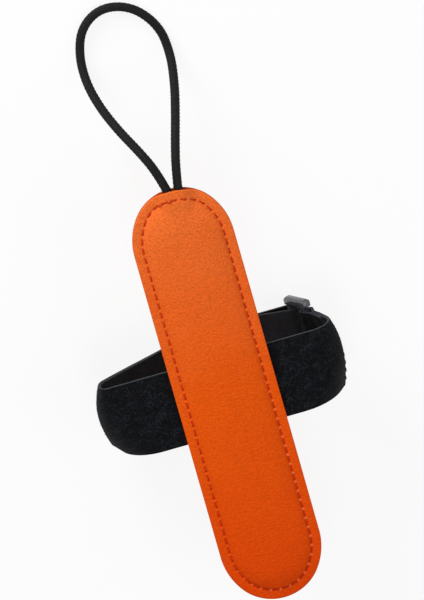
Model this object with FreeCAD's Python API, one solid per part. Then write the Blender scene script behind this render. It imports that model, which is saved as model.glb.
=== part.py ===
"""A strap-on padded strip: a stiffened leather strip with an elastic cord loop at one end and a
hook-and-loop strap ring, closed through a plastic buckle, behind its middle.

Millimetres. The object lies face up: +Z is the way the strip faces, +Y runs along the strip to the
cord loop, and the strap ring under the strip rests on the plane Z = 0. The origin is on that plane,
straight below the middle of the strip.
"""
import FreeCAD, Part
import math
import os

V = FreeCAD.Vector

# The strip: two leather sheets sewn round a stiffened pad.
STRIP_LENGTH = 224.0
STRIP_WIDTH = 51.0
END_LENGTH = 29.6        # of each rounded end, from the straight sides to the tip
END_SIDE_RADIUS = 34.0   # where a rounded end leaves the straight sides
SHEET = 1.2              # thickness of each leather sheet
EDGE_BEVEL = 0.3         # skived rim of the two sheets
STRIP_BACK = 49.8        # height of the strip's back face
BOARD = 1.0              # stiffener thickness
BOARD_INSET = 9.0
BOARD_TO_CORD = 1.0
PAD_RISE = 2.4           # foam above the stiffener
PAD_INSET = 5.8          # from the strip's edge to the foot of the padded face
PAD_SHOULDER = 1.9       # rounding where the padded face drops to the seam
CROWN_RADIUS = 150.0     # of the padded face, across the strip

# The seam that closes the strip, and the other rows of thread.
SEAM_INSET = 4.9
SEAM_PITCH = 4.95
STITCH_LENGTH = 2.7
STITCH_WIDTH = 0.8
STITCH_HEIGHT = 0.45
GROOVE_WIDTH = 1.1
GROOVE_DEPTH = 0.35
SEW_PITCH = 4.0          # of the rows that hold the strap and the hook patch
BOX_LENGTH = 36.0        # of the box-and-cross row that sews the strap to the strip
BOX_WIDTH = 28.0
CROSS_FROM = 0.12        # part of the way from a corner to the middle where the cross starts
CROSS_TO = 0.9

# The elastic cord, whose two ends are caught in one end of the strip.
CORD_DIAMETER = 4.7
CORD_FLATS = 12          # sides that stand for the cord's round section
CORD_ARC_SHARE = 0.45    # of the shorter run, taken up by each arc
CORD_HELD_WIDTH = 5.2    # pressed flat against the back sheet
CORD_HELD_SIDE = 1.2
CORD_HELD_HEIGHT = 3.2
CORD_HELD_LENGTH = 20.0
CORD_RIGHT_X = 4.6
CORD_LEFT_X = -1.1
HUMP_HALF_WIDTH = 9.2    # of the ridge that the cord's ends raise in the front sheet
HUMP_LENGTH = 14.0
HUMP_SINK = 0.2          # below the top of the padded face

# The strap: one hook-and-loop tape.
TAPE = 1.6
TAPE_WIDTH = 40.0
STRAP_Y = -1.2           # how far the strap sits from the strip's middle
RING_LEFT = -64.3        # centre of the tape where the ring turns back, on each side
RING_RIGHT = 59.2
LEFT_DROP = 17.0         # from the near band down to where the left side starts to slope
LEFT_SLOPE = 30.0        # degrees
NEAR_RIGHT_BEND = 15.5   # radii of the tape's centre line
NEAR_LEFT_BEND = 10.5
LEFT_BEND = 10.0
LEFT_FOOT_BEND = 20.0
CLIMB_BEND = 14.0
FOLD_RISE = 20.0         # degrees, of the tape as it climbs over the lower bar
PEEL_X = 33.0            # where the loose end of the tape peels away from
TAIL_TIP_X = -12.0
TIP_ROUND = 4.0
HOOK = 1.0               # thickness of the hook patch
HOOK_FROM_X = -9.0
HOOK_TO_X = 26.0
HOOK_WIDTH = 38.0
HOOK_ROUND = 1.5
HOOK_SEW_INSET = 2.2
PEEL_GAP = 0.2           # between the hooks and the pile

# The buckle: a moulded loop whose two bars run along Y.
BAR_RADIUS = 2.0
BAR_SPACING = 12.5
BUCKLE_TILT = 58.0       # degrees, from the lower bar up to the hem bar
SLOT_LENGTH = 42.5
END_BAR = 4.0            # width of the bars that close the two ends
END_BAR_HEIGHT = 4.4
END_BAR_CHAMFER = 1.1
LOWER_BAR_X = 42.6
HEM_CLEARANCE = 0.25     # between the hem bar and the hem round it
FOLD_CLEARANCE = 1.2     # between the lower bar and the tape that turns round it
HEM_GAP = 0.1            # between the two layers of the hem
HEM_LEAN = 52.0          # degrees, of the hem as it leaves its bar
HEM_MEET = 6.7           # from the hem bar to where the two layers meet
HEM_BEND = 12.0          # radius of the tape above the hem
HEM_EASE = 3.5           # radius where the hem's two layers meet
HEM_END_Z = 33.5
HEM_ROWS = (-33.0, -12.0)  # degrees round that bend, of the two rows of thread
HEM_ROW_LENGTH = 36.0

# Heights and places that follow.
SHEET_JOIN = STRIP_BACK + SHEET
FLANGE_TOP = STRIP_BACK + 2 * SHEET
STRIP_TOP = SHEET_JOIN + BOARD + PAD_RISE + SHEET
NEAR_Z = STRIP_BACK - TAPE / 2
TAIL_Z = TAPE / 2
FAR_Z = TAPE + HOOK + PEEL_GAP + TAPE / 2
HEM_RADIUS = BAR_RADIUS + HEM_CLEARANCE + TAPE / 2
HEM_APART = (TAPE + HEM_GAP) / 2
FOLD_RADIUS = BAR_RADIUS + FOLD_CLEARANCE + TAPE / 2
TILT = math.radians(BUCKLE_TILT)
LEAN = math.radians(HEM_LEAN)
HEM_WAY = (math.cos(LEAN), math.sin(LEAN))
INWARD = (-HEM_WAY[1], HEM_WAY[0])
LOWER_BAR = (LOWER_BAR_X, TAIL_Z + FOLD_RADIUS)
HEM_BAR = (LOWER_BAR[0] + BAR_SPACING * math.cos(TILT), LOWER_BAR[1] + BAR_SPACING * math.sin(TILT))
CORD_Z = SHEET_JOIN + CORD_HELD_HEIGHT / 2
CORD_MOUTH_Y = STRIP_LENGTH / 2 + 0.2
CORD_HELD_Y = STRIP_LENGTH / 2 - CORD_HELD_LENGTH
HUMP_X = (CORD_LEFT_X + CORD_RIGHT_X) / 2
HUMP_RISE = STRIP_TOP - SHEET_JOIN - HUMP_SINK
FLOOR_CORD = CORD_DIAMETER / 2

# The free cord's route, from its right-hand mouth round the loop and back to its left-hand one.
CORD_ROUTE = [
    (4.7, 112.7, CORD_Z),
    (6.3, 122.6, CORD_Z),
    (9.2, 132.5, 46.8),
    (13.3, 142.5, 33.5),
    (17.0, 152.0, 18.0),
    (19.3, 163.5, 4.0),
    (17.6, 179.0, FLOOR_CORD),
    (7.2, 192.6, FLOOR_CORD),
    (-7.8, 196.4, FLOOR_CORD),
    (-19.8, 188.8, FLOOR_CORD),
    (-24.6, 175.0, FLOOR_CORD),
    (-24.9, 162.5, 8.5),
    (-21.6, 152.5, 21.5),
    (-15.8, 143.0, 35.5),
    (-8.9, 133.6, 47.2),
    (-3.6, 123.3, CORD_Z),
    (-1.2, 112.8, CORD_Z),
]

NODES = {}


# ---------------------------------------------------------------- the strip


def outline(inset):
    """Closed wire of the strip's outline, moved in by inset: straight sides and three-arc ends."""
    side_x = END_SIDE_RADIUS - STRIP_WIDTH / 2
    # The tip arc lies inside both side arcs and touches them.
    reach = END_SIDE_RADIUS - END_LENGTH
    tip_radius = (END_SIDE_RADIUS ** 2 - END_LENGTH ** 2 - side_x ** 2) / (2 * reach)
    tip_y = END_LENGTH - tip_radius
    turn = math.atan2(tip_y, side_x)
    straight = STRIP_LENGTH / 2 - END_LENGTH
    side_r, tip_r = END_SIDE_RADIUS - inset, tip_radius - inset

    def on_side(x_sign, y_sign, angle):
        return V(x_sign * (side_r * math.cos(angle) - side_x),
                 y_sign * (straight + side_r * math.sin(angle)), 0)

    edges = []
    for sign in (1, -1):
        start, join = on_side(sign, sign, 0.0), on_side(sign, sign, turn)
        far_join, end = on_side(-sign, sign, turn), on_side(-sign, sign, 0.0)
        tip = V(0, sign * (straight + tip_y + tip_r), 0)
        edges.append(Part.Arc(start, on_side(sign, sign, turn / 2), join).toShape())
        edges.append(Part.Arc(join, tip, far_join).toShape())
        edges.append(Part.Arc(far_join, on_side(-sign, sign, turn / 2), end).toShape())
        edges.append(Part.LineSegment(end, V(end.x, -end.y, 0)).toShape())
    return Part.Wire(edges)


def slab(inset, low, high):
    """The strip's outline, moved in by inset, as a plate between two heights."""
    wire = outline(inset)
    wire.translate(V(0, 0, low))
    return Part.Face(wire).extrude(V(0, 0, high - low))


def with_bevelled_rim(plate, height):
    """A plate whose rim is bevelled at one height."""
    rim = [e for e in plate.Edges
           if abs(e.BoundBox.ZMin - height) < 1e-4 and abs(e.BoundBox.ZMax - height) < 1e-4]
    return plate.makeChamfer(EDGE_BEVEL, rim)


def pad_form(inset, top, crown):
    """The padded face as a plate that is crowned across its width."""
    half = STRIP_WIDTH / 2
    drop = crown - math.sqrt(crown ** 2 - half ** 2)
    back = -STRIP_LENGTH / 2
    left, right = V(-half, back, top - drop), V(half, back, top - drop)
    foot_left, foot_right = V(-half, back, SHEET_JOIN), V(half, back, SHEET_JOIN)
    section = Part.Wire([
        Part.Arc(left, V(0, back, top), right).toShape(),
        Part.LineSegment(right, foot_right).toShape(),
        Part.LineSegment(foot_right, foot_left).toShape(),
        Part.LineSegment(foot_left, left).toShape(),
    ])
    return Part.Face(section).extrude(V(0, STRIP_LENGTH, 0)).common(slab(inset, SHEET_JOIN, top + 1))


def with_shoulder(form):
    """The padded face with its upper rim rounded."""
    upper = [e for e in form.Edges if e.BoundBox.ZMin > SHEET_JOIN + PAD_SHOULDER]
    return form.makeFillet(PAD_SHOULDER, upper)


def arch_bar(x, half_width, side, height, low_y, high_y):
    """A bar along Y that stands on the sheets' join: upright sides under an arched top."""
    left, right = V(x - half_width, low_y, SHEET_JOIN + side), V(x + half_width, low_y, SHEET_JOIN + side)
    foot_left, foot_right = V(left.x, low_y, SHEET_JOIN), V(right.x, low_y, SHEET_JOIN)
    section = Part.Wire([
        Part.Arc(left, V(x, low_y, SHEET_JOIN + height), right).toShape(),
        Part.LineSegment(right, foot_right).toShape(),
        Part.LineSegment(foot_right, foot_left).toShape(),
        Part.LineSegment(foot_left, left).toShape(),
    ])
    return Part.Face(section).extrude(V(0, high_y - low_y, 0))


def cord_hump():
    """The ridge in the front sheet over the cord's two ends, open at the strip's tip."""
    ridge = arch_bar(HUMP_X, HUMP_HALF_WIDTH, SHEET, HUMP_RISE,
                     STRIP_LENGTH / 2 - HUMP_LENGTH, STRIP_LENGTH / 2 + 1)
    return ridge.common(slab(0.0, SHEET_JOIN, STRIP_TOP + 1))


def hump_zone():
    """Box round the hump: the sheet is solid here, and the seam climbs over it."""
    return Part.makeBox(2 * HUMP_HALF_WIDTH, HUMP_LENGTH, STRIP_TOP,
                        V(HUMP_X - HUMP_HALF_WIDTH, STRIP_LENGTH / 2 + 1 - HUMP_LENGTH, SHEET_JOIN))


def hump_height(x):
    """Height of the front sheet over the cord's ends, at x."""
    rise = HUMP_RISE - SHEET
    radius = (HUMP_HALF_WIDTH ** 2 + rise ** 2) / (2 * rise)
    return FLANGE_TOP + rise - radius + math.sqrt(radius ** 2 - (x - HUMP_X) ** 2)


def seam_groove(height, depth):
    """The ring that the seam presses into a sheet, from a height upwards or downwards."""
    low, high = sorted((height, height + depth))
    outer = slab(SEAM_INSET - GROOVE_WIDTH / 2, low, high)
    return outer.cut(slab(SEAM_INSET + GROOVE_WIDTH / 2, low, high))


# ---------------------------------------------------------------- thread


def stitch(height):
    """One stitch of thread lying along X, pointed where it dives through the material."""
    half, side = STITCH_LENGTH / 2, STITCH_WIDTH / 2
    plan = [V(-half, 0, 0), V(0, -side, 0), V(half, 0, 0), V(0, side, 0), V(-half, 0, 0)]
    return Part.Face(Part.makePolygon(plan)).extrude(V(0, 0, height))


def placed(one, at, heading):
    """A copy of a stitch, turned to a heading in degrees about Z and moved."""
    copy = one.copy()
    copy.rotate(V(0, 0, 0), V(0, 0, 1), heading)
    copy.translate(at)
    return copy


def seam_places():
    """Middle and heading of every stitch of the seam round the strip."""
    wire = outline(SEAM_INSET)
    count = round(wire.Length / SEAM_PITCH)
    points = wire.discretize(Number=2 * count + 1)[:-1]
    places = []
    for i in range(0, 2 * count, 2):
        step = points[i + 1] - points[i - 1]
        places.append((points[i], math.degrees(math.atan2(step.y, step.x))))
    return places


def straight_row(one, start, end, pitch):
    """Stitches along a straight line between two points at one height."""
    step = end - start
    count = max(1, round(step.Length / pitch))
    heading = math.degrees(math.atan2(step.y, step.x))
    return [placed(one, start + step * ((i + 0.5) / count), heading) for i in range(count)]


def box_row(one, low, high, pitch, crossed):
    """Stitches round a rectangle between two corners, with both diagonals where it is crossed."""
    corners = [V(low.x, low.y, low.z), V(high.x, low.y, low.z),
               V(high.x, high.y, low.z), V(low.x, high.y, low.z)]
    row = []
    for i, corner in enumerate(corners):
        row += straight_row(one, corner, corners[(i + 1) % 4], pitch)
    if crossed:
        # Each diagonal stops short of the corners, and the second skips the crossing.
        middle = (corners[0] + corners[2]) * 0.5
        for corner in corners:
            start = corner + (middle - corner) * CROSS_FROM
            end = corner + (middle - corner) * CROSS_TO
            row += straight_row(one, start, end, pitch)
    return row


# ---------------------------------------------------------------- paths in the XZ plane


def unit(p, q):
    """Unit vector from p to q."""
    length = math.hypot(q[0] - p[0], q[1] - p[1])
    return ((q[0] - p[0]) / length, (q[1] - p[1]) / length)


def shifted(p, direction, distance):
    """The point at a distance from p along a direction."""
    return (p[0] + direction[0] * distance, p[1] + direction[1] * distance)


def line_meet(p, d, q, e):
    """Where the line through p along d meets the line through q along e."""
    t = ((q[0] - p[0]) * e[1] - (q[1] - p[1]) * e[0]) / (d[0] * e[1] - d[1] * e[0])
    return shifted(p, d, t)


def moved_path(corners, shift):
    """A path of (corner, radius), moved to the left of its way with its arcs kept concentric."""
    runs = [unit(a[0], b[0]) for a, b in zip(corners, corners[1:])]
    moved = []
    for i, (point, radius) in enumerate(corners):
        before, after = runs[max(i - 1, 0)], runs[min(i, len(runs) - 1)]
        on_before = shifted(point, (-before[1], before[0]), shift)
        on_after = shifted(point, (-after[1], after[0]), shift)
        turn = before[0] * after[1] - before[1] * after[0]
        if abs(turn) < 1e-9:
            moved.append((on_before, radius))
        else:
            inner = radius - math.copysign(shift, turn * shift)
            moved.append((line_meet(on_before, before, on_after, after), inner))
    return moved


def path_edges(corners):
    """Lines and tangent arcs through a path of (corner, radius)."""
    def space(p):
        return V(p[0], 0, p[1])

    edges, here = [], corners[0][0]
    for i in range(1, len(corners) - 1):
        point, radius = corners[i]
        before, after = unit(corners[i - 1][0], point), unit(point, corners[i + 1][0])
        turn = math.acos(max(-1.0, min(1.0, before[0] * after[0] + before[1] * after[1])))
        back = radius * math.tan(turn / 2)
        start, end = shifted(point, before, -back), shifted(point, after, back)
        inward = unit(point, ((start[0] + end[0]) / 2, (start[1] + end[1]) / 2))
        middle = shifted(point, inward, radius / math.cos(turn / 2) - radius)
        if math.hypot(start[0] - here[0], start[1] - here[1]) > 1e-6:
            edges.append(Part.LineSegment(space(here), space(start)).toShape())
        edges.append(Part.Arc(space(start), space(middle), space(end)).toShape())
        here = end
    edges.append(Part.LineSegment(space(here), space(corners[-1][0])).toShape())
    return edges


def wrap(centre, radius, first, last, count):
    """Corners of a path round a circle, from one polar angle to another, in degrees."""
    step = (last - first) / count
    reach = radius / math.cos(math.radians(step / 2))
    middles = [math.radians(first + step * (i + 0.5)) for i in range(count)]
    return [(shifted(centre, (math.cos(a), math.sin(a)), reach), radius) for a in middles]


def along_y(edges, width):
    """The face that plane edges enclose, extruded evenly to both sides of Y = 0."""
    face = Part.Face(Part.Wire(Part.__sortEdges__(edges)))
    face.translate(V(0, -width / 2, 0))
    return face.extrude(V(0, width, 0))


def taped(corners, thickness, width):
    """Tape of one thickness that follows a path."""
    left, right = moved_path(corners, thickness / 2), moved_path(corners, -thickness / 2)
    edges = path_edges(left) + path_edges(right)
    for a, b in ((left[0][0], right[0][0]), (left[-1][0], right[-1][0])):
        edges.append(Part.LineSegment(V(a[0], 0, a[1]), V(b[0], 0, b[1])).toShape())
    return along_y(edges, width)


# ---------------------------------------------------------------- the strap ring


def hem_side(offset):
    """Where one layer of the hem leaves the bar for its partner, and where it bends upright."""
    meet = shifted(shifted(HEM_BAR, HEM_WAY, HEM_MEET), INWARD, offset)
    upright = RING_RIGHT - HEM_APART - offset
    return meet, line_meet(meet, HEM_WAY, (upright, 0), (0, 1))


def hem_corners():
    """The tape's path round the hem bar: down the inside, round the bar and up the outside."""
    inner, inner_bend = hem_side(HEM_APART)
    outer, outer_bend = hem_side(-HEM_APART)
    side = math.degrees(math.atan2(HEM_APART, HEM_MEET)
                        + math.acos(HEM_RADIUS / math.hypot(HEM_MEET, HEM_APART)))
    return [
        ((inner_bend[0], HEM_END_Z), 0.0),
        (inner_bend, HEM_BEND - 2 * HEM_APART),
        (inner, HEM_EASE),
        *wrap(HEM_BAR, HEM_RADIUS, HEM_LEAN + side, HEM_LEAN + 360 - side, 3),
        (outer, HEM_EASE),
        (outer_bend, HEM_BEND),
    ]


def band_corners():
    """The tape's whole path: hem, right side, near band, left side, far band and fold."""
    slope = math.tan(math.radians(LEFT_SLOPE))
    left_low = NEAR_Z - LEFT_DROP
    top = math.radians(90 + FOLD_RISE)
    fold_start = shifted(LOWER_BAR, (math.cos(top), math.sin(top)), FOLD_RADIUS)
    climb = math.radians(FOLD_RISE)
    climb_foot = line_meet(fold_start, (math.cos(climb), math.sin(climb)), (0, FAR_Z), (1, 0))
    return hem_corners() + [
        ((RING_RIGHT, NEAR_Z), NEAR_RIGHT_BEND),
        ((RING_LEFT, NEAR_Z), NEAR_LEFT_BEND),
        ((RING_LEFT, left_low), LEFT_BEND),
        ((RING_LEFT + (left_low - FAR_Z) / slope, FAR_Z), LEFT_FOOT_BEND),
        (climb_foot, CLIMB_BEND),
        *wrap(LOWER_BAR, FOLD_RADIUS, 90 + FOLD_RISE, -90, 3),
        ((PEEL_X, TAIL_Z), 0.0),
    ]


def hem_thread():
    """Two rows of thread through the hem, seen on both of its faces."""
    corner = hem_side(-HEM_APART)[1]
    turn = math.radians(90 - HEM_LEAN)
    centre = (RING_RIGHT - HEM_BEND, corner[1] + HEM_BEND * math.tan(turn / 2))
    outer_face = HEM_BEND + TAPE / 2
    inner_face = outer_face - 2 * TAPE - HEM_GAP
    count = round(HEM_ROW_LENGTH / SEW_PITCH)
    row = []
    for face, outwards in ((outer_face, True), (inner_face, False)):
        for angle in HEM_ROWS:
            foot = shifted(centre, (math.cos(math.radians(angle)), math.sin(math.radians(angle))), face)
            one = placed(stitch(STITCH_HEIGHT), V(0, 0, 0), 90)
            one.rotate(V(0, 0, 0), V(0, 1, 0), 90 - angle if outwards else -90 - angle)
            for i in range(count):
                copy = one.copy()
                copy.translate(V(foot[0], HEM_ROW_LENGTH * ((i + 0.5) / count - 0.5), foot[1]))
                row.append(copy)
    return Part.Compound(row)


def rounded_plate(low_x, high_x, width, low_z, high_z, rounding):
    """A flat rectangular plate with rounded corners."""
    plate = Part.makeBox(high_x - low_x, width, high_z - low_z, V(low_x, -width / 2, low_z))
    upright = [e for e in plate.Edges if e.BoundBox.ZLength > 0.9 * (high_z - low_z)]
    return plate.makeFillet(rounding, upright)


# ---------------------------------------------------------------- the pieces


def make_strip():
    """The two sheets, what they hold, and the seam that closes them."""
    cord_ends = [arch_bar(x, CORD_HELD_WIDTH / 2, CORD_HELD_SIDE, CORD_HELD_HEIGHT, CORD_HELD_Y, CORD_MOUTH_Y)
                 for x in (CORD_LEFT_X, CORD_RIGHT_X)]
    cord_room = Part.makeBox(STRIP_WIDTH, STRIP_LENGTH, STRIP_TOP,
                             V(-STRIP_WIDTH / 2, CORD_HELD_Y - BOARD_TO_CORD, 0))
    board = slab(BOARD_INSET, SHEET_JOIN, SHEET_JOIN + BOARD).cut(cord_room)
    filling = pad_form(PAD_INSET + SHEET, STRIP_TOP - SHEET, CROWN_RADIUS - SHEET).cut(hump_zone())

    raised, flat, tack = stitch(STITCH_HEIGHT), stitch(GROOVE_DEPTH), []
    front_row, back_row = [], []
    for point, heading in seam_places():
        back_row.append(placed(flat, V(point.x, point.y, STRIP_BACK), heading))
        over_cord = point.y > 0 and abs(point.x - HUMP_X) < HUMP_HALF_WIDTH
        top = hump_height(point.x) if over_cord else FLANGE_TOP
        row = tack if over_cord else front_row
        row.append(placed(raised, V(point.x, point.y, top - GROOVE_DEPTH), heading))

    front = with_bevelled_rim(slab(0.0, SHEET_JOIN, FLANGE_TOP), FLANGE_TOP)
    front = front.cut(seam_groove(FLANGE_TOP, -GROOVE_DEPTH).cut(hump_zone()))
    front = front.fuse([with_shoulder(pad_form(PAD_INSET, STRIP_TOP, CROWN_RADIUS)), cord_hump()])
    front = front.cut(filling).cut(Part.Compound(cord_ends)).cut(Part.Compound(tack))
    back = with_bevelled_rim(slab(0.0, STRIP_BACK, SHEET_JOIN), STRIP_BACK)

    NODES["front_panel"] = front
    NODES["back_panel"] = back.cut(seam_groove(STRIP_BACK, GROOVE_DEPTH))
    NODES["foam_pad"] = filling.cut(board).cut(Part.Compound(cord_ends))
    NODES["stiffener_board"] = board
    NODES["cord_ends"] = Part.Compound(cord_ends)
    NODES["front_seam_thread"] = Part.Compound(front_row)
    NODES["back_seam_thread"] = Part.Compound(back_row)
    NODES["cord_tack_thread"] = Part.Compound(tack)


def make_strap():
    """The ring of tape with its hem and fold, its loose end with the hook patch, and their thread."""
    NODES["strap_band"] = taped(band_corners(), TAPE, TAPE_WIDTH)
    NODES["hem_thread"] = hem_thread()
    under = STRIP_BACK - TAPE - STITCH_HEIGHT
    low, high = V(-BOX_LENGTH / 2, -BOX_WIDTH / 2, under), V(BOX_LENGTH / 2, BOX_WIDTH / 2, under)
    NODES["strap_box_thread"] = Part.Compound(box_row(stitch(STITCH_HEIGHT), low, high, SEW_PITCH, True))

    sew = HOOK_SEW_INSET
    low = V(HOOK_FROM_X + sew, sew - HOOK_WIDTH / 2, 0)
    high = V(HOOK_TO_X - sew, HOOK_WIDTH / 2 - sew, 0)
    patch_row = box_row(stitch(GROOVE_DEPTH), low, high, SEW_PITCH, False)
    side = GROOVE_WIDTH / 2
    groove = rounded_plate(low.x - side, high.x + side, high.y - low.y + GROOVE_WIDTH, 0, GROOVE_DEPTH, side)
    island = Part.makeBox(high.x - low.x - GROOVE_WIDTH, high.y - low.y - GROOVE_WIDTH, GROOVE_DEPTH,
                          V(low.x + side, low.y + side, 0))
    tail = rounded_plate(TAIL_TIP_X, PEEL_X + TIP_ROUND, TAPE_WIDTH, 0, TAPE, TIP_ROUND)
    root_side = Part.makeBox(2 * TIP_ROUND, 2 * TAPE_WIDTH, 2 * TAPE, V(PEEL_X, -TAPE_WIDTH, -TAPE / 2))
    NODES["strap_tail"] = tail.cut(root_side).cut(groove.cut(island))
    NODES["hook_patch"] = rounded_plate(HOOK_FROM_X, HOOK_TO_X, HOOK_WIDTH, TAPE, TAPE + HOOK, HOOK_ROUND)
    NODES["hook_patch_thread"] = Part.Compound(patch_row)


def make_buckle():
    """The moulded loop: two round bars joined by chamfered end bars, tilted about Y."""
    pieces = []
    length = SLOT_LENGTH + END_BAR
    for across in (-BAR_SPACING / 2, BAR_SPACING / 2):
        pieces.append(Part.makeCylinder(BAR_RADIUS, length, V(across, -length / 2, 0), V(0, 1, 0)))
    end_length = BAR_SPACING + 2 * BAR_RADIUS
    for side in (-1, 1):
        middle = side * (SLOT_LENGTH + END_BAR) / 2
        corner = V(-end_length / 2, middle - END_BAR / 2, -END_BAR_HEIGHT / 2)
        bar = Part.makeBox(end_length, END_BAR, END_BAR_HEIGHT, corner)
        outer_y = side * (SLOT_LENGTH / 2 + END_BAR)
        outer = [e for e in bar.Edges if abs(e.BoundBox.YMin - outer_y) < 1e-4
                 and abs(e.BoundBox.YMax - outer_y) < 1e-4]
        pieces.append(bar.makeChamfer(END_BAR_CHAMFER, outer))
    buckle = pieces[0].fuse(pieces[1:]).removeSplitter()
    buckle.rotate(V(0, 0, 0), V(0, 1, 0), -BUCKLE_TILT)
    buckle.translate(V((LOWER_BAR[0] + HEM_BAR[0]) / 2, 0, (LOWER_BAR[1] + HEM_BAR[1]) / 2))
    NODES["buckle"] = buckle


def make_cord():
    """The free loop of cord: straight runs joined by the largest tangent arcs that they allow."""
    points = [V(*p) for p in CORD_ROUTE]
    runs = [(b - a).Length for a, b in zip(points, points[1:])]
    edges, here, radii = [], points[0], []
    for i in range(1, len(points) - 1):
        before = (points[i] - points[i - 1]).normalize()
        after = (points[i + 1] - points[i]).normalize()
        turn = before.getAngle(after)
        radius = CORD_ARC_SHARE * min(runs[i - 1], runs[i]) / math.tan(turn / 2)
        back = radius * math.tan(turn / 2)
        start, end = points[i] - before * back, points[i] + after * back
        inward = ((start + end) * 0.5 - points[i]).normalize()
        middle = points[i] + inward * (radius / math.cos(turn / 2) - radius)
        edges.append(Part.LineSegment(here, start).toShape())
        edges.append(Part.Arc(start, middle, end).toShape())
        here = end
        radii.append(radius)
    edges.append(Part.LineSegment(here, points[-1]).toShape())
    path = Part.Wire(edges)

    # The section has the round cord's area. It stands square to the first run, which is level.
    area = math.pi * CORD_DIAMETER ** 2 / 4
    sector = 2 * math.pi / CORD_FLATS
    reach = math.sqrt(2 * area / (CORD_FLATS * math.sin(sector)))
    up = V(0, 0, 1)
    across = (points[1] - points[0]).normalize().cross(up)
    rim = [points[0] + across * (reach * math.cos(i * sector)) + up * (reach * math.sin(i * sector))
           for i in range(CORD_FLATS)]
    tube = path.makePipeShell([Part.makePolygon(rim + rim[:1])], True, False)
    expected = path.Length * area
    print("cord length %.1f mm, tube volume / section times length %.4f"
          % (path.Length, tube.Volume / expected))
    print("cord radii, mm:", " ".join("%.0f" % r for r in radii))
    NODES["cord_loop"] = tube


def main():
    """Build every piece and write one STEP file for each node."""
    make_strap()
    make_buckle()
    for shape in NODES.values():
        shape.translate(V(0, STRAP_Y, 0))
    make_strip()
    make_cord()
    os.makedirs("parts", exist_ok=True)
    for name, shape in NODES.items():
        shape.exportStep("parts/%s.step" % name)
        box = shape.BoundBox
        print("%-20s solids %3d valid %s volume %9.1f  x %.1f..%.1f y %.1f..%.1f z %.1f..%.1f"
              % (name, len(shape.Solids), shape.isValid(), shape.Volume,
                 box.XMin, box.XMax, box.YMin, box.YMax, box.ZMin, box.ZMax))


main()
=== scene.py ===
"""Dresses the strap-on padded strip: stitched leather, elastic cord, hook-and-loop strap, buckle.

Metres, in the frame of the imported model: +Z is the way the strip faces, +Y runs along it to the
cord loop, and the strap ring under the strip rests on Z = 0.
"""
import logging
import math
import random
from contextlib import contextmanager
from dataclasses import dataclass, field
from enum import Enum
from functools import cached_property
from itertools import accumulate
from typing import Callable, Iterator, Sequence

import bmesh
import bpy
import numpy as np
from mathutils import Matrix, Vector, noise


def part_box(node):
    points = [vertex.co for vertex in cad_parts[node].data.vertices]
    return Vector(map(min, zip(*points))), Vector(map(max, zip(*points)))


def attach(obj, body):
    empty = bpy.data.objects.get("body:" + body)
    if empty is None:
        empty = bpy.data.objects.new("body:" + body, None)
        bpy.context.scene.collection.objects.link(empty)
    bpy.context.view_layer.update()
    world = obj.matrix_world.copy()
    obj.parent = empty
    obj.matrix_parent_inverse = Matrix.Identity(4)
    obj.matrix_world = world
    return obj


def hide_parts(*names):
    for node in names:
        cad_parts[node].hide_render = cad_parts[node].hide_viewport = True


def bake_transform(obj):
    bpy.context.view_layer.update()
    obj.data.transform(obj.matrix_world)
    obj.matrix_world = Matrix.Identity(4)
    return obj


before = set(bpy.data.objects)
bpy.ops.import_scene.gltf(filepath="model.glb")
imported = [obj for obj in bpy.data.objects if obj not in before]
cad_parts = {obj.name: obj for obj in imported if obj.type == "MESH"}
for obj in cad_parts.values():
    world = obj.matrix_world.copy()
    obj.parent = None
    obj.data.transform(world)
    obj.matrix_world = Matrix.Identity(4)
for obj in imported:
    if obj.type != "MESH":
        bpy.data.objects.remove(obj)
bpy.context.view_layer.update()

LOG = logging.getLogger("strip")
MM = 0.001
X_AXIS, Y_AXIS, Z_AXIS = Vector((1, 0, 0)), Vector((0, 1, 0)), Vector((0, 0, 1))
Material = bpy.types.Material
Socket = bpy.types.NodeSocket
Placer = Callable[[Vector], Vector]


def tone(code: str) -> tuple[float, float, float, float]:
    """Turn six hex digits, as painters write a colour, into the linear colour of a socket."""
    parts = [int(code[i:i + 2], 16) / 255 for i in (0, 2, 4)]
    red, green, blue = [c / 12.92 if c <= 0.04045 else ((c + 0.055) / 1.055) ** 2.4 for c in parts]
    return red, green, blue, 1.0


def ease(low: float, high: float, value: float) -> float:
    """Smooth step of a value from 0 at low to 1 at high."""
    share = min(1.0, max(0.0, (value - low) / (high - low)))
    return share * share * (3 - 2 * share)


def linked(name: str, data: bpy.types.ID) -> bpy.types.Object:
    """Put a new object in the scene."""
    obj = bpy.data.objects.new(name, data)
    bpy.context.scene.collection.objects.link(obj)
    return obj


# ---------------------------------------------------------------- modelling bench


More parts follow.
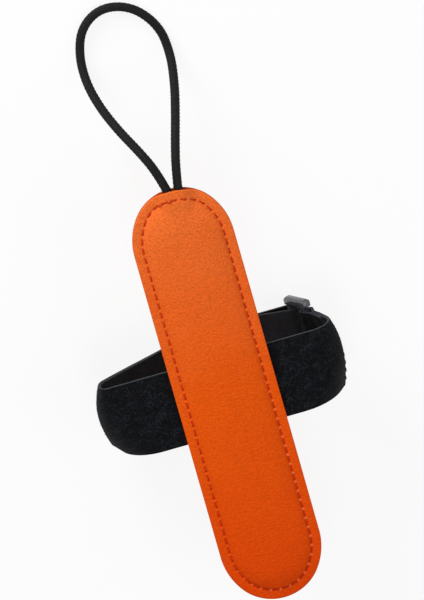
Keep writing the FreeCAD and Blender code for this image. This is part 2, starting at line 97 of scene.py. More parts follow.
class Bench:
    """One mesh object under work, shaped with edit-mode operators and modifiers."""

    def __init__(self, obj: bpy.types.Object) -> None:
        """Take an object on the bench."""
        self.obj = obj

    @staticmethod
    def clear() -> None:
        """Leave edit mode and deselect everything."""
        if bpy.context.object and bpy.context.object.mode != "OBJECT":
            bpy.ops.object.mode_set(mode="OBJECT")
        bpy.ops.object.select_all(action="DESELECT")

    @classmethod
    def start(cls, name: str, primitive: Callable[..., set], **settings: object) -> "Bench":
        """Add a primitive and put its place into its mesh.

        Args:
            name: Name of the new piece.
            primitive: The operator that adds it.
            **settings: What the operator is given.

        Returns:
            The bench that holds the new piece.
        """
        cls.clear()
        primitive(**settings)
        obj = bpy.context.object
        obj.name = obj.data.name = name
        bpy.ops.object.transform_apply(location=True, rotation=True, scale=True)
        return cls(obj)

    @classmethod
    def start_disc(cls, name: str, corners: int, radius: float, **settings: object) -> "Bench":
        """Add a filled circle as a new piece."""
        return cls.start(name, bpy.ops.mesh.primitive_circle_add, vertices=corners, radius=radius,
                         fill_type="NGON", **settings)

    @classmethod
    def made(cls, name: str, points: Sequence, faces: Sequence, uv: Sequence[float]) -> "Bench":
        """Make a mesh of points, faces and each face corner's two coordinates along the piece.

        Args:
            name: Name of the new piece.
            points: Its points.
            faces: The numbers of each face's points.
            uv: Two values for each corner of each face.

        Returns:
            The bench that holds it.
        """
        mesh = bpy.data.meshes.new(name)
        mesh.from_pydata(points, [], faces)
        mesh.uv_layers.new(name="along").data.foreach_set("uv", uv)
        mesh.update()
        return cls(linked(name, mesh))

    def focus(self) -> None:
        """Make this the one selected and active object."""
        self.clear()
        self.obj.select_set(True)
        bpy.context.view_layer.objects.active = self.obj

    @contextmanager
    def editing(self, kind: str = "FACE") -> Iterator[None]:
        """Edit mode with everything selected, in a vertex, edge or face mode.

        Args:
            kind: What is edited: VERT, EDGE or FACE.
        """
        self.focus()
        bpy.ops.object.mode_set(mode="EDIT")
        bpy.ops.mesh.select_mode(type=kind)
        bpy.ops.mesh.select_all(action="SELECT")
        yield
        bpy.ops.object.mode_set(mode="OBJECT")

    def pick(self, parts: str, test: Callable[[object], bool]) -> None:
        """Select only the faces or the edges that pass a test, in edit mode.

        Args:
            parts: The mesh's list of them: faces or edges.
            test: Whether one of them is selected.
        """
        bpy.ops.mesh.select_all(action="DESELECT")
        mesh = bmesh.from_edit_mesh(self.obj.data)
        for part in getattr(mesh, parts):
            part.select_set(test(part))
        bmesh.update_edit_mesh(self.obj.data)

    @staticmethod
    def pull(*step: float) -> None:
        """Extrude what is selected along a step, in edit mode."""
        bpy.ops.mesh.extrude_region_move(TRANSFORM_OT_translate={"value": step})

    @staticmethod
    def ring(widths: Sequence[float]) -> None:
        """Inset what is selected again and again, in edit mode."""
        for width in widths:
            bpy.ops.mesh.inset(thickness=width, depth=0.0, use_even_offset=True)

    def mould(self, placer: Placer) -> "Bench":
        """Move every point to where a function puts it."""
        for vertex in self.obj.data.vertices:
            vertex.co = placer(vertex.co)
        self.obj.data.update()
        return self

    def turn(self, matrix: Matrix) -> "Bench":
        """Put a placement into the mesh."""
        self.obj.data.transform(matrix)
        self.obj.data.update()
        return self

    def modify(self, kind: str, **settings: object) -> "Bench":
        """Add a modifier, set it up and apply it.

        Args:
            kind: Type of the modifier.
            **settings: What it is set to.

        Returns:
            This bench.
        """
        self.focus()
        modifier = self.obj.modifiers.new(kind.lower(), kind)
        for key, value in settings.items():
            setattr(modifier, key, value)
        bpy.ops.object.modifier_apply(modifier=modifier.name)
        return self

    def outwards(self) -> "Bench":
        """Merge doubles and point every face outwards."""
        with self.editing("VERT"):
            bpy.ops.mesh.remove_doubles(threshold=1e-6)
            bpy.ops.mesh.normals_make_consistent(inside=False)
        return self

    def smooth(self, degrees: float = 40.0) -> "Bench":
        """Shade smooth where faces meet at less than an angle."""
        self.focus()
        bpy.ops.object.shade_smooth_by_angle(angle=math.radians(degrees))
        return self

    def dress(self, *materials: Material) -> "Bench":
        """Give the piece its materials, the first on every face that names none."""
        self.obj.data.materials.clear()
        for material in materials:
            self.obj.data.materials.append(material)
        return self

    def measure(self, name: str, gauge: Callable[[Vector], float]) -> "Bench":
        """Store a value at every point, for the finish to read."""
        layer = self.obj.data.attributes.new(name, "FLOAT", "POINT")
        layer.data.foreach_set("value", [gauge(v.co) for v in self.obj.data.vertices])
        return self

    def bin(self) -> None:
        """Remove the piece."""
        bpy.data.objects.remove(self.obj, do_unlink=True)


def joined(name: str, benches: Sequence[Bench]) -> Bench:
    """Join several pieces into one.

    Args:
        name: Name of the new piece.
        benches: The pieces, the first of which takes in the others.

    Returns:
        The bench of the first piece.
    """
    benches[0].focus()
    for bench in benches:
        bench.obj.select_set(True)
    bpy.ops.object.join()
    benches[0].obj.name = benches[0].obj.data.name = name
    return benches[0]


def copies(name: str, pattern: Bench, places: Sequence[Matrix]) -> Bench:
    """Copy a piece to many places, as one object, and remove the pattern.

    Args:
        name: Name of the new object.
        pattern: The piece that is copied.
        places: Where each copy goes.

    Returns:
        The bench that holds all the copies.
    """
    mesh = pattern.obj.data
    count = len(mesh.vertices)
    points = np.array([(*v.co, 1.0) for v in mesh.vertices])
    faces = [tuple(p.vertices) for p in mesh.polygons]
    uv = np.array([d.uv for d in mesh.uv_layers[0].data])
    bench = Bench.made(
        name, np.vstack([(points @ np.array(m, float).T)[:, :3] for m in places]).tolist(),
        [tuple(i + n * count for i in face) for n in range(len(places)) for face in faces],
        np.tile(uv, (len(places), 1)).ravel())
    pattern.bin()
    return bench.smooth()


def settle(bench: Bench, body: str, slot: str, *nodes: str) -> bpy.types.Object:
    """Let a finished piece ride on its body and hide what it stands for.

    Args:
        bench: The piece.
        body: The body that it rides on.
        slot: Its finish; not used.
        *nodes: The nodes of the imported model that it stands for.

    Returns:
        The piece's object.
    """
    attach(bench.obj, body)
    if nodes:
        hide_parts(*nodes)
    LOG.info("%s: %d faces, rides on %s", bench.obj.name, len(bench.obj.data.polygons), body)
    return bench.obj


# ---------------------------------------------------------------- finishes


class Nodes:
    """One node tree, with short ways to add nodes and to link them."""

    def __init__(self, tree: bpy.types.NodeTree) -> None:
        """Take a tree to work on."""
        self.tree = tree

    def feed(self, socket: Socket, value: object) -> None:
        """Link an input to an output, or give it a value of its own."""
        if isinstance(value, Socket):
            self.tree.links.new(value, socket)
        else:
            socket.default_value = value

    def add(self, kind: str, settings: dict | None = None, **inputs: object) -> bpy.types.Node:
        """Add a node.

        Args:
            kind: The node's type.
            settings: What its own properties are set to.
            **inputs: What each input gets, by its name or by an underscore and its number.

        Returns:
            The new node.
        """
        node = self.tree.nodes.new(kind)
        for key, value in (settings or {}).items():
            setattr(node, key, value)
        for key, value in inputs.items():
            name = int(key[1:]) if key[1:].isdigit() else key.replace("_", " ")
            self.feed(node.inputs[name], value)
        return node

    def spread(self, value: Socket, **limits: float) -> Socket:
        """Map a value from one range to another."""
        return self.add("ShaderNodeMapRange", Value=value, **limits).outputs["Result"]


class Shader(Nodes):
    """The nodes of one material, round its Principled shader."""

    def __init__(self, name: str, **constants: object) -> None:
        """Start a material and set the shader's constant sockets.

        Args:
            name: Name of the material.
            **constants: What the shader's own sockets are set to.
        """
        self.material = bpy.data.materials.new(name)
        self.material.use_nodes = True
        super().__init__(self.material.node_tree)
        self.sockets = self.tree.nodes["Principled BSDF"].inputs
        for key, value in constants.items():
            self.feed(self.sockets[key.replace("_", " ")], value)
        self.place = self.add("ShaderNodeTexCoord").outputs["Object"]
        self.relief: Socket | None = None

    def read(self, name: str) -> Socket:
        """A value that is stored at the piece's points."""
        return self.add("ShaderNodeAttribute", {"attribute_name": name}).outputs["Fac"]

    def along(self) -> Socket:
        """The piece's coordinates along and across itself."""
        return self.add("ShaderNodeUVMap", {"uv_map": "along"}).outputs["UV"]

    def stretched(self, scale: Sequence[float], source: Socket | None = None) -> Socket:
        """The piece's coordinates, scaled along each axis."""
        return self.add("ShaderNodeMapping", Vector=source or self.place,
                        Scale=scale).outputs["Vector"]

    def cloud(self, size: float, detail: float = 3.0, vector: Socket | None = None,
              rough: float = 0.55) -> Socket:
        """Soft noise whose blots are about as large as a size in metres."""
        return self.add("ShaderNodeTexNoise", Vector=vector or self.place, Scale=1 / size,
                        Detail=detail, Roughness=rough).outputs["Fac"]

    def cells(self, size: float, vector: Socket | None = None) -> Socket:
        """Distance inside cells about as large as a size in metres."""
        return self.add("ShaderNodeTexVoronoi", Vector=vector or self.place,
                        Scale=1 / size).outputs["Distance"]

    def ramp(self, source: Socket, stops: Sequence[tuple[float, object]]) -> Socket:
        """Colours or levels along a value.

        Args:
            source: The value.
            stops: Places on it, each with its colour or level.

        Returns:
            The colour or level.
        """
        node = self.add("ShaderNodeValToRGB", Fac=source)
        points = node.color_ramp.elements
        while len(points) < len(stops):
            points.new(0.5)
        for point, (position, value) in zip(points, stops):
            point.position = position
            point.color = tone(value) if isinstance(value, str) else (value, value, value, 1.0)
        return node.outputs["Color"]

    def blend(self, share: object, first: object, second: object, mode: str = "MIX") -> Socket:
        """Mix two colours."""
        return self.add("ShaderNodeMix", {"data_type": "RGBA", "blend_type": mode},
                        _0=share, _6=first, _7=second).outputs[2]

    def emboss(self, height: Socket, depth: float, strength: float) -> None:
        """Add relief of a depth in metres on top of what is there."""
        below = {"Normal": self.relief} if self.relief else {}
        self.relief = self.add("ShaderNodeBump", Height=height, Distance=depth,
                               Strength=strength, **below).outputs["Normal"]

    def done(self, colour: Socket, roughness: object) -> Material:
        """Feed the colour, roughness and relief, and hand over the material."""
        self.feed(self.sockets["Base Color"], colour)
        self.feed(self.sockets["Roughness"], roughness)
        self.feed(self.sockets["Normal"], self.relief)
        return self.material


@dataclass(frozen=True)
class LeatherFinish:
    """Dyed, fine-grained leather, with a painted reflection that makes it paler towards the cord,
    painted shade in the seam's groove and the grain's creases, and painted highlights between
    stitches.
    """

    name: str = "orange_leather"
    # pale, body and deep: a painted reflection of the soft light, paler towards the cord end and
    # deeper at the foot
    pale: str = "F87430"
    body: str = "F05A0A"
    deep: str = "E44602"
    # painted shade in the seam's groove and needle holes, and on the sheets' inner sides
    pressed: str = "B02000"
    stitch_highlight: str = "FF9C66"        # painted highlight on the leather's swell between two stitches
    grain: float = 0.75 * MM
    pore: float = 0.35 * MM
    ripple: float = 1.2 * MM
    crease: float = 2.0 * MM
    blot: float = 30.0 * MM
    half_length: float = 105.0 * MM
    foot_shade: float = 0.40      # how strongly the grain's painted crease shade shows at the foot
    top_shade: float = 0.85       # and next to the cord

    def build(self) -> Material:
        """Make the material.

        Returns:
            The material.
        """
        shader = Shader(self.name, Specular_IOR_Level=0.05)
        across = shader.stretched((0.7, 1.0, 1.0))
        y = shader.add("ShaderNodeSeparateXYZ", Vector=shader.place).outputs["Y"]
        # painted reflection: the colour runs from deep at the foot to pale at the cord end, where
        # the light's reflection falls
        towards_cord = shader.spread(y, From_Min=-self.half_length, From_Max=self.half_length)
        broad = shader.ramp(shader.blend(0.22, towards_cord, shader.cloud(self.blot, 2.0)),
                            [(0.08, self.deep), (0.5, self.body), (0.9, self.pale)])
        grain = shader.cells(self.grain, across)
        # grain, with painted shade in its creases standing in for the shading of its relief
        crease_shade = shader.ramp(grain, [(0.22, 1.0), (0.75, 0.76)])
        ripple = shader.ramp(shader.cloud(self.ripple, 4.0, across, 0.75),
                             [(0.35, 0.85), (0.62, 1.0)])
        depth = shader.spread(towards_cord, To_Min=self.foot_shade, To_Max=self.top_shade)
        dyed = shader.blend(0.8, broad, ripple, "MULTIPLY")
        dyed = shader.blend(depth, dyed, crease_shade, "MULTIPLY")
        # painted shade where the seam's groove and needle holes sink in
        colour = shader.blend(shader.read("press"), dyed, tone(self.pressed))
        # painted highlight on the swells between stitches
        colour = shader.blend(shader.read("stitch_highlight"), colour, tone(self.stitch_highlight))
        shader.emboss(shader.cloud(self.crease, 5.0, across, 0.7), 0.36 * MM, 0.9)
        shader.emboss(grain, -0.22 * MM, 0.9)
        shader.emboss(shader.cells(self.pore), 0.03 * MM, 0.5)
        shine = shader.ramp(shader.cloud(6 * MM, 4.0), [(0.3, 0.60), (0.7, 0.72)])
        return shader.done(colour, shine)


@dataclass(frozen=True)
class GrainedFinish:
    """A matt finish whose one grain gives both its colour and its relief."""

    name: str
    dark: str
    light: str
    stops: tuple[float, float]    # of the dark and the light colour on the grain
    grain: float
    relief: float
    strength: float
    roughness: float
    specular: float = 0.15
    detail: float = 3.0
    stretch: tuple[float, float, float] = (1, 1, 1)
    cellular: bool = False

    def build(self) -> Material:
        """Make the material.

        Returns:
            The material.
        """
        shader = Shader(self.name, Specular_IOR_Level=self.specular)
        place = shader.stretched(self.stretch)
        grain = (shader.cells(self.grain, place) if self.cellular
                 else shader.cloud(self.grain, self.detail, place))
        shader.emboss(grain, self.relief, self.strength)
        colour = shader.ramp(grain, list(zip(self.stops, (self.dark, self.light))))
        return shader.done(colour, self.roughness)


@dataclass(frozen=True)
class BraidFinish:
    """Charcoal yarn of the elastic cord's sheath, with its filaments along each strand."""

    name: str = "cord_yarn"
    dark: str = "030303"
    light: str = "161615"

    def build(self) -> Material:
        """Make the material.

        Returns:
            The material.
        """
        shader = Shader(self.name, Specular_IOR_Level=0.13)
        filament = shader.cloud(1.0, 2.0, shader.stretched((260, 9, 1), shader.along()))
        shader.emboss(filament, 0.05 * MM, 0.7)
        mixed = shader.blend(0.25, filament, shader.cloud(3.0 * MM, 2.0))
        return shader.done(shader.ramp(mixed, [(0.38, self.dark), (0.64, self.light)]), 0.58)


@dataclass(frozen=True)
class PileFinish:
    """Brushed loop pile, mottled in random tufts, whose pale blue-grey tone is a painted sheen on
    the loops.
    """

    name: str = "loop_pile"
    deep: str = "030304"
    body: str = "0B0C0F"
    # painted sheen: the pale blue-grey where the loops catch the light
    tip: str = "2C2F36"

    def build(self) -> Material:
        """Make the material.

        Returns:
            The material.
        """
        shader = Shader(self.name, Specular_IOR_Level=0.04, Sheen_Weight=0.03,
                        Sheen_Roughness=0.6)
        tufts = shader.cloud(1.1 * MM, 5.0, rough=0.75)
        shader.emboss(tufts, 0.5 * MM, 0.8)
        shader.emboss(shader.cloud(0.35 * MM), 0.15 * MM, 0.6)
        mixed = shader.blend(0.25, tufts, shader.cloud(5.0 * MM))
        stops = [(0.34, self.deep), (0.50, self.body), (0.70, self.tip)]
        return shader.done(shader.ramp(mixed, stops), 0.95)


@dataclass(frozen=True)
class KnitFinish:
    """The smooth knitted inner side of the tape."""

    name: str = "tape_knit"
    dark: str = "1D1E21"
    light: str = "36383C"
    rib: float = 0.75 * MM
    row: float = 0.6 * MM

    def build(self) -> Material:
        """Make the material.

        Returns:
            The material.
        """
        shader = Shader(self.name, Specular_IOR_Level=0.12)
        along = shader.along()
        ribs, rows = (
            shader.add("ShaderNodeTexWave", {"bands_direction": way}, Vector=along,
                       Scale=math.pi / 10 / pitch, Distortion=0.6, Detail=1.0).outputs["Fac"]
            for way, pitch in (("Y", self.rib), ("X", self.row)))
        weave = shader.blend(0.5, ribs, rows)
        shader.emboss(weave, 0.10 * MM, 0.55)
        mixed = shader.blend(0.55, weave, shader.cloud(9 * MM))
        return shader.done(shader.ramp(mixed, [(0.3, self.dark), (0.75, self.light)]), 0.82)


@dataclass(frozen=True)
class MouldedFinish:
    """Moulded plastic with a faint flow texture and scuffs, either polished or matt."""

    name: str
    dark: str
    light: str
    roughness: float
    coat: float = 0.0

    def build(self) -> Material:
        """Make the material.

        Returns:
            The material.
        """
        shader = Shader(self.name, Specular_IOR_Level=0.55, Coat_Weight=self.coat,
                        Coat_Roughness=0.12)
        shader.emboss(shader.cloud(0.9 * MM, 2.0), 0.015 * MM, 0.5)
        colour = shader.ramp(shader.cloud(5 * MM), [(0.35, self.dark), (0.7, self.light)])
        scuff = shader.cloud(0.8 * MM, 5.0, shader.stretched((1, 0.25, 1)))
        low, high = self.roughness * 0.8, self.roughness * 1.35
        return shader.done(colour, shader.ramp(scuff, [(0.35, low), (0.75, high)]))


class Finishes:
    """Every finish of the strip, made once."""

    def __init__(self) -> None:
        """Make the materials."""
        self.leather = LeatherFinish().build()
        self.cut_edge = GrainedFinish(
            "cut_leather_edge", "A2401A", "D05C28", (0.3, 0.7), grain=0.5 * MM,
            relief=0.08 * MM, strength=0.6, roughness=0.85, specular=0.2, detail=4.0,
            stretch=(1, 1, 6)).build()
        self.orange_thread, self.black_thread = (
            GrainedFinish(name, dark, light, (0.32, 0.7), grain=0.22 * MM, relief=0.03 * MM,
                          strength=0.7, roughness=0.62).build()
            for name, dark, light in (("orange_thread", "A01A00", "D03C08"),
                                      ("black_thread", "0B0B0D", "2A2A2E")))
        self.braid = BraidFinish().build()
        self.pile = PileFinish().build()
        self.knit = KnitFinish().build()
        self.selvedge = GrainedFinish(
            "tape_selvedge", "15161A", "3C3F45", (0.35, 0.72), grain=0.6 * MM,
            relief=0.12 * MM, strength=0.7, roughness=0.7, detail=4.0).build()
        self.buckle = MouldedFinish("buckle_plastic", "3C3E44", "4A4D53", 0.26, 0.4).build()
        self.hooks = MouldedFinish("hook_plastic", "0C0C0E", "1B1B1E", 0.5).build()
        self.board = MouldedFinish("stiffener_board", "B3AFA4", "C4C0B6", 0.6).build()
        self.foam = GrainedFinish(
            "pad_foam", "2A2A2D", "4A4A4E", (0.1, 0.6), grain=0.5 * MM, relief=0.12 * MM,
            strength=0.8, roughness=0.9, specular=0.2, cellular=True).build()


# ---------------------------------------------------------------- studio


@dataclass
class Studio:
    """Camera, lights, surround and floor."""

    tilt: float = 20.0            # degrees between the view and the strip's own facing
    roll_right: float = 0.9616    # how the view's upright stands on the strip: cosine and sine
    roll_up: float = 0.2743
    aim: Vector = field(default_factory=lambda: Vector((5.56, 50.3, 52.2)) * MM)
    distance: float = 8.0
    view_height: float = 297.0 * MM
    sensor: float = 36.0
    clip_end: float = 40.0
    surround: float = 0.32        # strength of the surround where it only lights
    floor_size: float = 12.0
    floor_z: float = -0.4 * MM
    floor_tone: float = 0.9
    floor_glow: float = 0.86      # share of the floor that shows white, over its shadow

    def axes(self) -> tuple[Vector, Vector, Vector]:
        """The view's right, its up and the way back to the camera.

        Returns:
            Three unit vectors.
        """
        tilt = math.radians(self.tilt)
        back = Vector((0, math.sin(tilt), math.cos(tilt)))
        over = Vector((0, math.cos(tilt), -math.sin(tilt)))
        right = X_AXIS * self.roll_right - over * self.roll_up
        up = X_AXIS * self.roll_up + over * self.roll_right
        return right, up, back

    def build(self) -> None:
        """Set up the whole studio."""
        right, up, back = self.axes()
        self.make_camera(right, up, back)
        self.add_panel("key", back + up * 0.95 - right * 0.85, distance=1.3, size=0.6, power=16.0)
        self.add_panel("fill", back * 0.8 + right - up * 0.2, distance=1.4, size=0.9, power=4.0)
        self.add_panel("glow", Vector((-0.1, -0.24, 1)), distance=0.7, size=0.25, power=1.2)
        self.make_surround()
        self.make_floor()
        bpy.context.scene.view_settings.view_transform = "Standard"

    def make_camera(self, right: Vector, up: Vector, back: Vector) -> None:
        """A long lens that looks along the view.

        Args:
            right: The view's right.
            up: The view's up.
            back: The way from the object to the camera.
        """
        data = bpy.data.cameras.new("camera")
        data.sensor_width = self.sensor
        data.lens = self.sensor * self.distance / self.view_height
        data.clip_start, data.clip_end = 0.1, self.clip_end
        camera = linked("camera", data)
        turned = Matrix((right, up, back)).transposed().to_4x4()
        camera.matrix_world = Matrix.Translation(self.aim + back * self.distance) @ turned
        bpy.context.scene.camera = camera

    def add_panel(self, name: str, way: Vector, distance: float, size: float,
                  power: float) -> None:
        """A square soft light that faces the object from one way.

        Args:
            name: Name of the light.
            way: The way from the object to the light.
            distance: How far away it is.
            size: Length of its sides.
            power: Its power in watts.
        """
        data = bpy.data.lights.new(name, "AREA")
        data.shape, data.size, data.energy = "SQUARE", size, power
        light = linked(name, data)
        way = way.normalized()
        light.location = self.aim + way * distance
        light.rotation_mode = "QUATERNION"
        light.rotation_quaternion = way.to_track_quat("Z", "Y")

    def make_surround(self) -> None:
        """A white surround that lights softly and is seen in full."""
        world = bpy.data.worlds.new("surround")
        bpy.context.scene.world = world
        world.use_nodes = True
        nodes = Nodes(world.node_tree)
        background = nodes.tree.nodes["Background"].inputs
        level = nodes.spread(self.seen_directly(nodes), To_Min=self.surround, To_Max=1.0)
        nodes.feed(background["Color"], (1, 1, 1, 1))
        nodes.feed(background["Strength"], level)

    @staticmethod
    def seen_directly(nodes: Nodes) -> Socket:
        """One for camera, glossy and transmission rays, and nought for the rest.

        Args:
            nodes: The tree that reads it.

        Returns:
            The socket that gives it.
        """
        rays = nodes.add("ShaderNodeLightPath").outputs
        seen = rays["Is Camera Ray"]
        for kind in ("Is Glossy Ray", "Is Transmission Ray"):
            seen = nodes.add("ShaderNodeMath", {"operation": "MAXIMUM"}, _0=seen,
                             _1=rays[kind]).outputs[0]
        return seen

    def make_floor(self) -> None:
        """A wide pale floor that keeps a light shadow."""
        floor = Bench.start("floor", bpy.ops.mesh.primitive_plane_add, size=self.floor_size,
                            location=(0, 0, self.floor_z))
        material = bpy.data.materials.new("pale_floor")
        material.use_nodes = True
        nodes = Nodes(material.node_tree)
        nodes.tree.nodes.remove(nodes.tree.nodes["Principled BSDF"])
        share = nodes.add("ShaderNodeMath", {"operation": "MULTIPLY"},
                          _0=self.seen_directly(nodes), _1=self.floor_glow)
        shadowed = nodes.add("ShaderNodeBsdfDiffuse", Color=(*[self.floor_tone] * 3, 1))
        mix = nodes.add("ShaderNodeMixShader", _0=share.outputs[0], _1=shadowed.outputs[0],
                        _2=nodes.add("ShaderNodeEmission").outputs[0])
        nodes.feed(nodes.tree.nodes["Material Output"].inputs["Surface"], mix.outputs[0])
        floor.dress(material).obj


# ---------------------------------------------------------------- elastic cord


@dataclass
class Tubes:
    """Capped tubes, gathered as points, faces and coordinates until they become one mesh."""

    points: list[Vector] = field(default_factory=list)
    faces: list[tuple[int, ...]] = field(default_factory=list)
    uvs: list[tuple[float, float]] = field(default_factory=list)

    def add(self, rows: Sequence[Sequence[Vector]], reach: Sequence[float], shift: float) -> None:
        """Close rows of rim points into one more tube.

        Args:
            rows: The points of each cross-section, in order along the tube.
            reach: How far along the tube each cross-section lies.
            shift: How far the tube's coordinates are moved, so that no two look alike.
        """
        first, around = len(self.points), len(rows[0])
        last = first + (len(rows) - 1) * around
        for row, along in zip(rows, reach):
            self.points.extend(row)
            self.uvs.extend((k / around + shift, along * 100) for k in range(around))
        for start in range(first, last, around):
            for k in range(around):
                here, after = start + k, start + (k + 1) % around
                self.faces.append((here, after, after + around, here + around))
        self.faces.append(tuple(range(first + around - 1, first - 1, -1)))
        self.faces.append(tuple(range(last, last + around)))

    def build(self, name: str) -> Bench:
        """Make the mesh, with every face outwards.

        Args:
            name: Name of the new piece.

        Returns:
            The bench that holds it.
        """
        uv = [c for face in self.faces for i in face for c in self.uvs[i]]
        bench = Bench.made(name, self.points, self.faces, uv)
        with bench.editing("VERT"):
            bpy.ops.mesh.normals_make_consistent(inside=False)
        return bench.smooth(60)


@dataclass
class ElasticCord:
    """The braided elastic cord: its free loop, and its two ends held between the sheets."""

    finishes: Finishes
    diameter: float = 4.7 * MM
    length: float = 236.5 * MM
    right_x: float = 4.6 * MM
    left_x: float = -1.1 * MM
    mouth_reach: float = 2.5 * MM    # from where a held end starts to turn to the strip's mouth
    held_width: float = 5.0 * MM
    held_height: float = 3.1 * MM
    held_share: float = 0.97         # of the full diameter, before a held end is pressed
    strands_each_way: int = 8
    lay: float = 17.6 * MM           # one turn of a strand
    strand_width: float = 1.54 * MM
    strand_height: float = 0.74 * MM
    strand_rim: tuple[tuple[float, float], ...] = (
        (-0.5, 0.0), (-0.28, 0.42), (0.0, 0.5), (0.28, 0.42), (0.5, 0.0), (0.0, -0.5))
    strand_shift: float = 0.13       # of the yarn's coordinates from one strand to the next
    weave: float = 0.24 * MM         # how far a strand rises and sinks
    core_gap: float = 0.15 * MM      # of the core under the middle of the strands
    core_sides: int = 12
    step: float = 0.55 * MM

    def route(self) -> list[tuple[float, float, float]]:
        """The free loop's control points, from its right-hand mouth round to its left-hand one.

        Returns:
            The points, in metres.
        """
        return [
            (0.0047, 0.1127, 0.0526),
            (0.0063, 0.1226, 0.0526),
            (0.0092, 0.1325, 0.0468),
            (0.0133, 0.1425, 0.0335),
            (0.0170, 0.1520, 0.0180),
            (0.0193, 0.1635, 0.0040),
            (0.0176, 0.1790, 0.00235),
            (0.0072, 0.1926, 0.00235),
            (-0.0078, 0.1964, 0.00235),
            (-0.0198, 0.1888, 0.00235),
            (-0.0246, 0.1750, 0.00235),
            (-0.0249, 0.1625, 0.0085),
            (-0.0216, 0.1525, 0.0215),
            (-0.0158, 0.1430, 0.0355),
            (-0.0089, 0.1336, 0.0472),
            (-0.0036, 0.1233, 0.0526),
            (-0.0012, 0.1128, 0.0526),
        ]

    def centreline(self) -> list[Vector]:
        """Points of the smooth line that the route gives.

        Returns:
            The points, in order.
        """
        curve = bpy.data.curves.new("cord_line", "CURVE")
        curve.dimensions, curve.resolution_u = "3D", 40
        spline = curve.splines.new("NURBS")
        spline.points.add(len(self.route()) - 1)
        for point, place in zip(spline.points, self.route()):
            point.co = (*place, 1.0)
        spline.order_u = 3
        spline.use_endpoint_u = True
        holder = bpy.data.objects.new("cord_line", curve)
        line = bpy.data.meshes.new_from_object(holder)
        points = [v.co.copy() for v in line.vertices]
        bpy.data.objects.remove(holder)
        bpy.data.meshes.remove(line)
        return points

    def build(self) -> None:
        """Make the loop and the held ends."""
        line = self.centreline()
        loop = self.braid("cord_loop_braid", line, 1.0).dress(self.finishes.braid)
        settle(loop, "strip", "elastic_cord", "cord_loop")
        self.route()[0]
        ends = [self.held_end(x, mouth)
                for x, mouth in ((self.right_x, line[0]), (self.left_x, line[-1]))]
        held = joined("cord_held_ends", ends).dress(self.finishes.braid)
        settle(held, "strip", "elastic_cord", "cord_ends")

    def held_end(self, x: float, mouth: Vector) -> Bench:
        """One end of the cord, pressed flat between the sheets and round again at its mouth.

        Args:
            x: Its place across the strip.
            mouth: Where the free loop starts.

        Returns:
            The bench that holds it.
        """
        low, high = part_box("cord_ends")
        height = low.z + self.held_height / 2
        flat, wide = self.held_height / self.diameter, self.held_width / self.diameter
        inside, turn = Vector((x, low.y, height)), Vector((x, high.y - self.mouth_reach, height))

        def press(p: Vector) -> Vector:
            """Flatten the end inside the strip, and less towards its mouth."""
            share = ease(high.y - 2 * self.mouth_reach, high.y, p.y)
            across, down = wide + (1 - wide) * share, flat + (1 - flat) * share
            return Vector((x + (p.x - x) * across, p.y, height + (p.z - height) * down))

        return self.braid("cord_end", [inside, turn, mouth], self.held_share).mould(press)

    def braid(self, name: str, line: Sequence[Vector], scale: float) -> Bench:
        """Braid strands round a line, over a plain core.

        Args:
            name: Name of the new object.
            line: Points that the braid follows.
            scale: Share of the full diameter.

        Returns:
            The bench that holds the braid.
        """
        spots, frames, reach = self.frames(line)
        mean = self.diameter / 2 * scale - self.strand_height / 2 - self.weave
        tubes = Tubes()
        for way in (1, -1):
            for strand in range(self.strands_each_way):
                rows = []
                for spot, (side, top, tangent), far in zip(spots, frames, reach):
                    swing = math.tau * far / self.lay
                    angle = way * swing + math.tau * strand / self.strands_each_way
                    lift = way * self.weave * math.cos(self.strands_each_way * swing)
                    out = side * math.cos(angle) + top * math.sin(angle)
                    round_way = (top * math.cos(angle) - side * math.sin(angle)) * way
                    heading = (tangent * self.lay + round_way * math.tau * mean).normalized()
                    across, centre = out.cross(heading), spot + out * (mean + lift)
                    rows.append([centre + across * (a * self.strand_width)
                                 + out * (b * self.strand_height) for a, b in self.strand_rim])
                tubes.add(rows, reach, strand * self.strand_shift)
        angles = [math.tau * k / self.core_sides for k in range(self.core_sides)]
        core = [[spot + (side * math.cos(a) + top * math.sin(a)) * (mean - self.core_gap)
                 for a in angles] for spot, (side, top, _) in zip(spots, frames)]
        tubes.add(core, reach, 0.0)
        return tubes.build(name)

    def frames(self, line: Sequence[Vector]) -> tuple[list[Vector], list[tuple], list[float]]:
        """Even steps along a line, each with axes that don't twist, and how far along it is.

        Args:
            line: Points that the line runs through.

        Returns:
            The steps' places, their axes and their lengths along the line.
        """
        spans = [(b - a).length for a, b in zip(line, line[1:])]
        marks = list(accumulate(spans, initial=0.0))
        count = max(2, round(marks[-1] / self.step))
        reach = [marks[-1] * i / count for i in range(count + 1)]
        spots, at = [], 0
        for mark in reach:
            while at < len(spans) - 1 and marks[at + 1] < mark:
                at += 1
            spots.append(line[at].lerp(line[at + 1], (mark - marks[at]) / max(spans[at], 1e-9)))
        frames, side = [], X_AXIS
        for before, after in zip([spots[0], *spots], [*spots[1:], spots[-1]]):
            tangent = (after - before).normalized()
            side = (side - tangent * side.dot(tangent)).normalized()
            frames.append((side, tangent.cross(side), tangent))
        return spots, frames, reach


# ---------------------------------------------------------------- leather strip


class Sheet(Enum):
    """The strip's two leather sheets, with the way that each one's outer face looks."""

    FRONT = 1
    BACK = -1


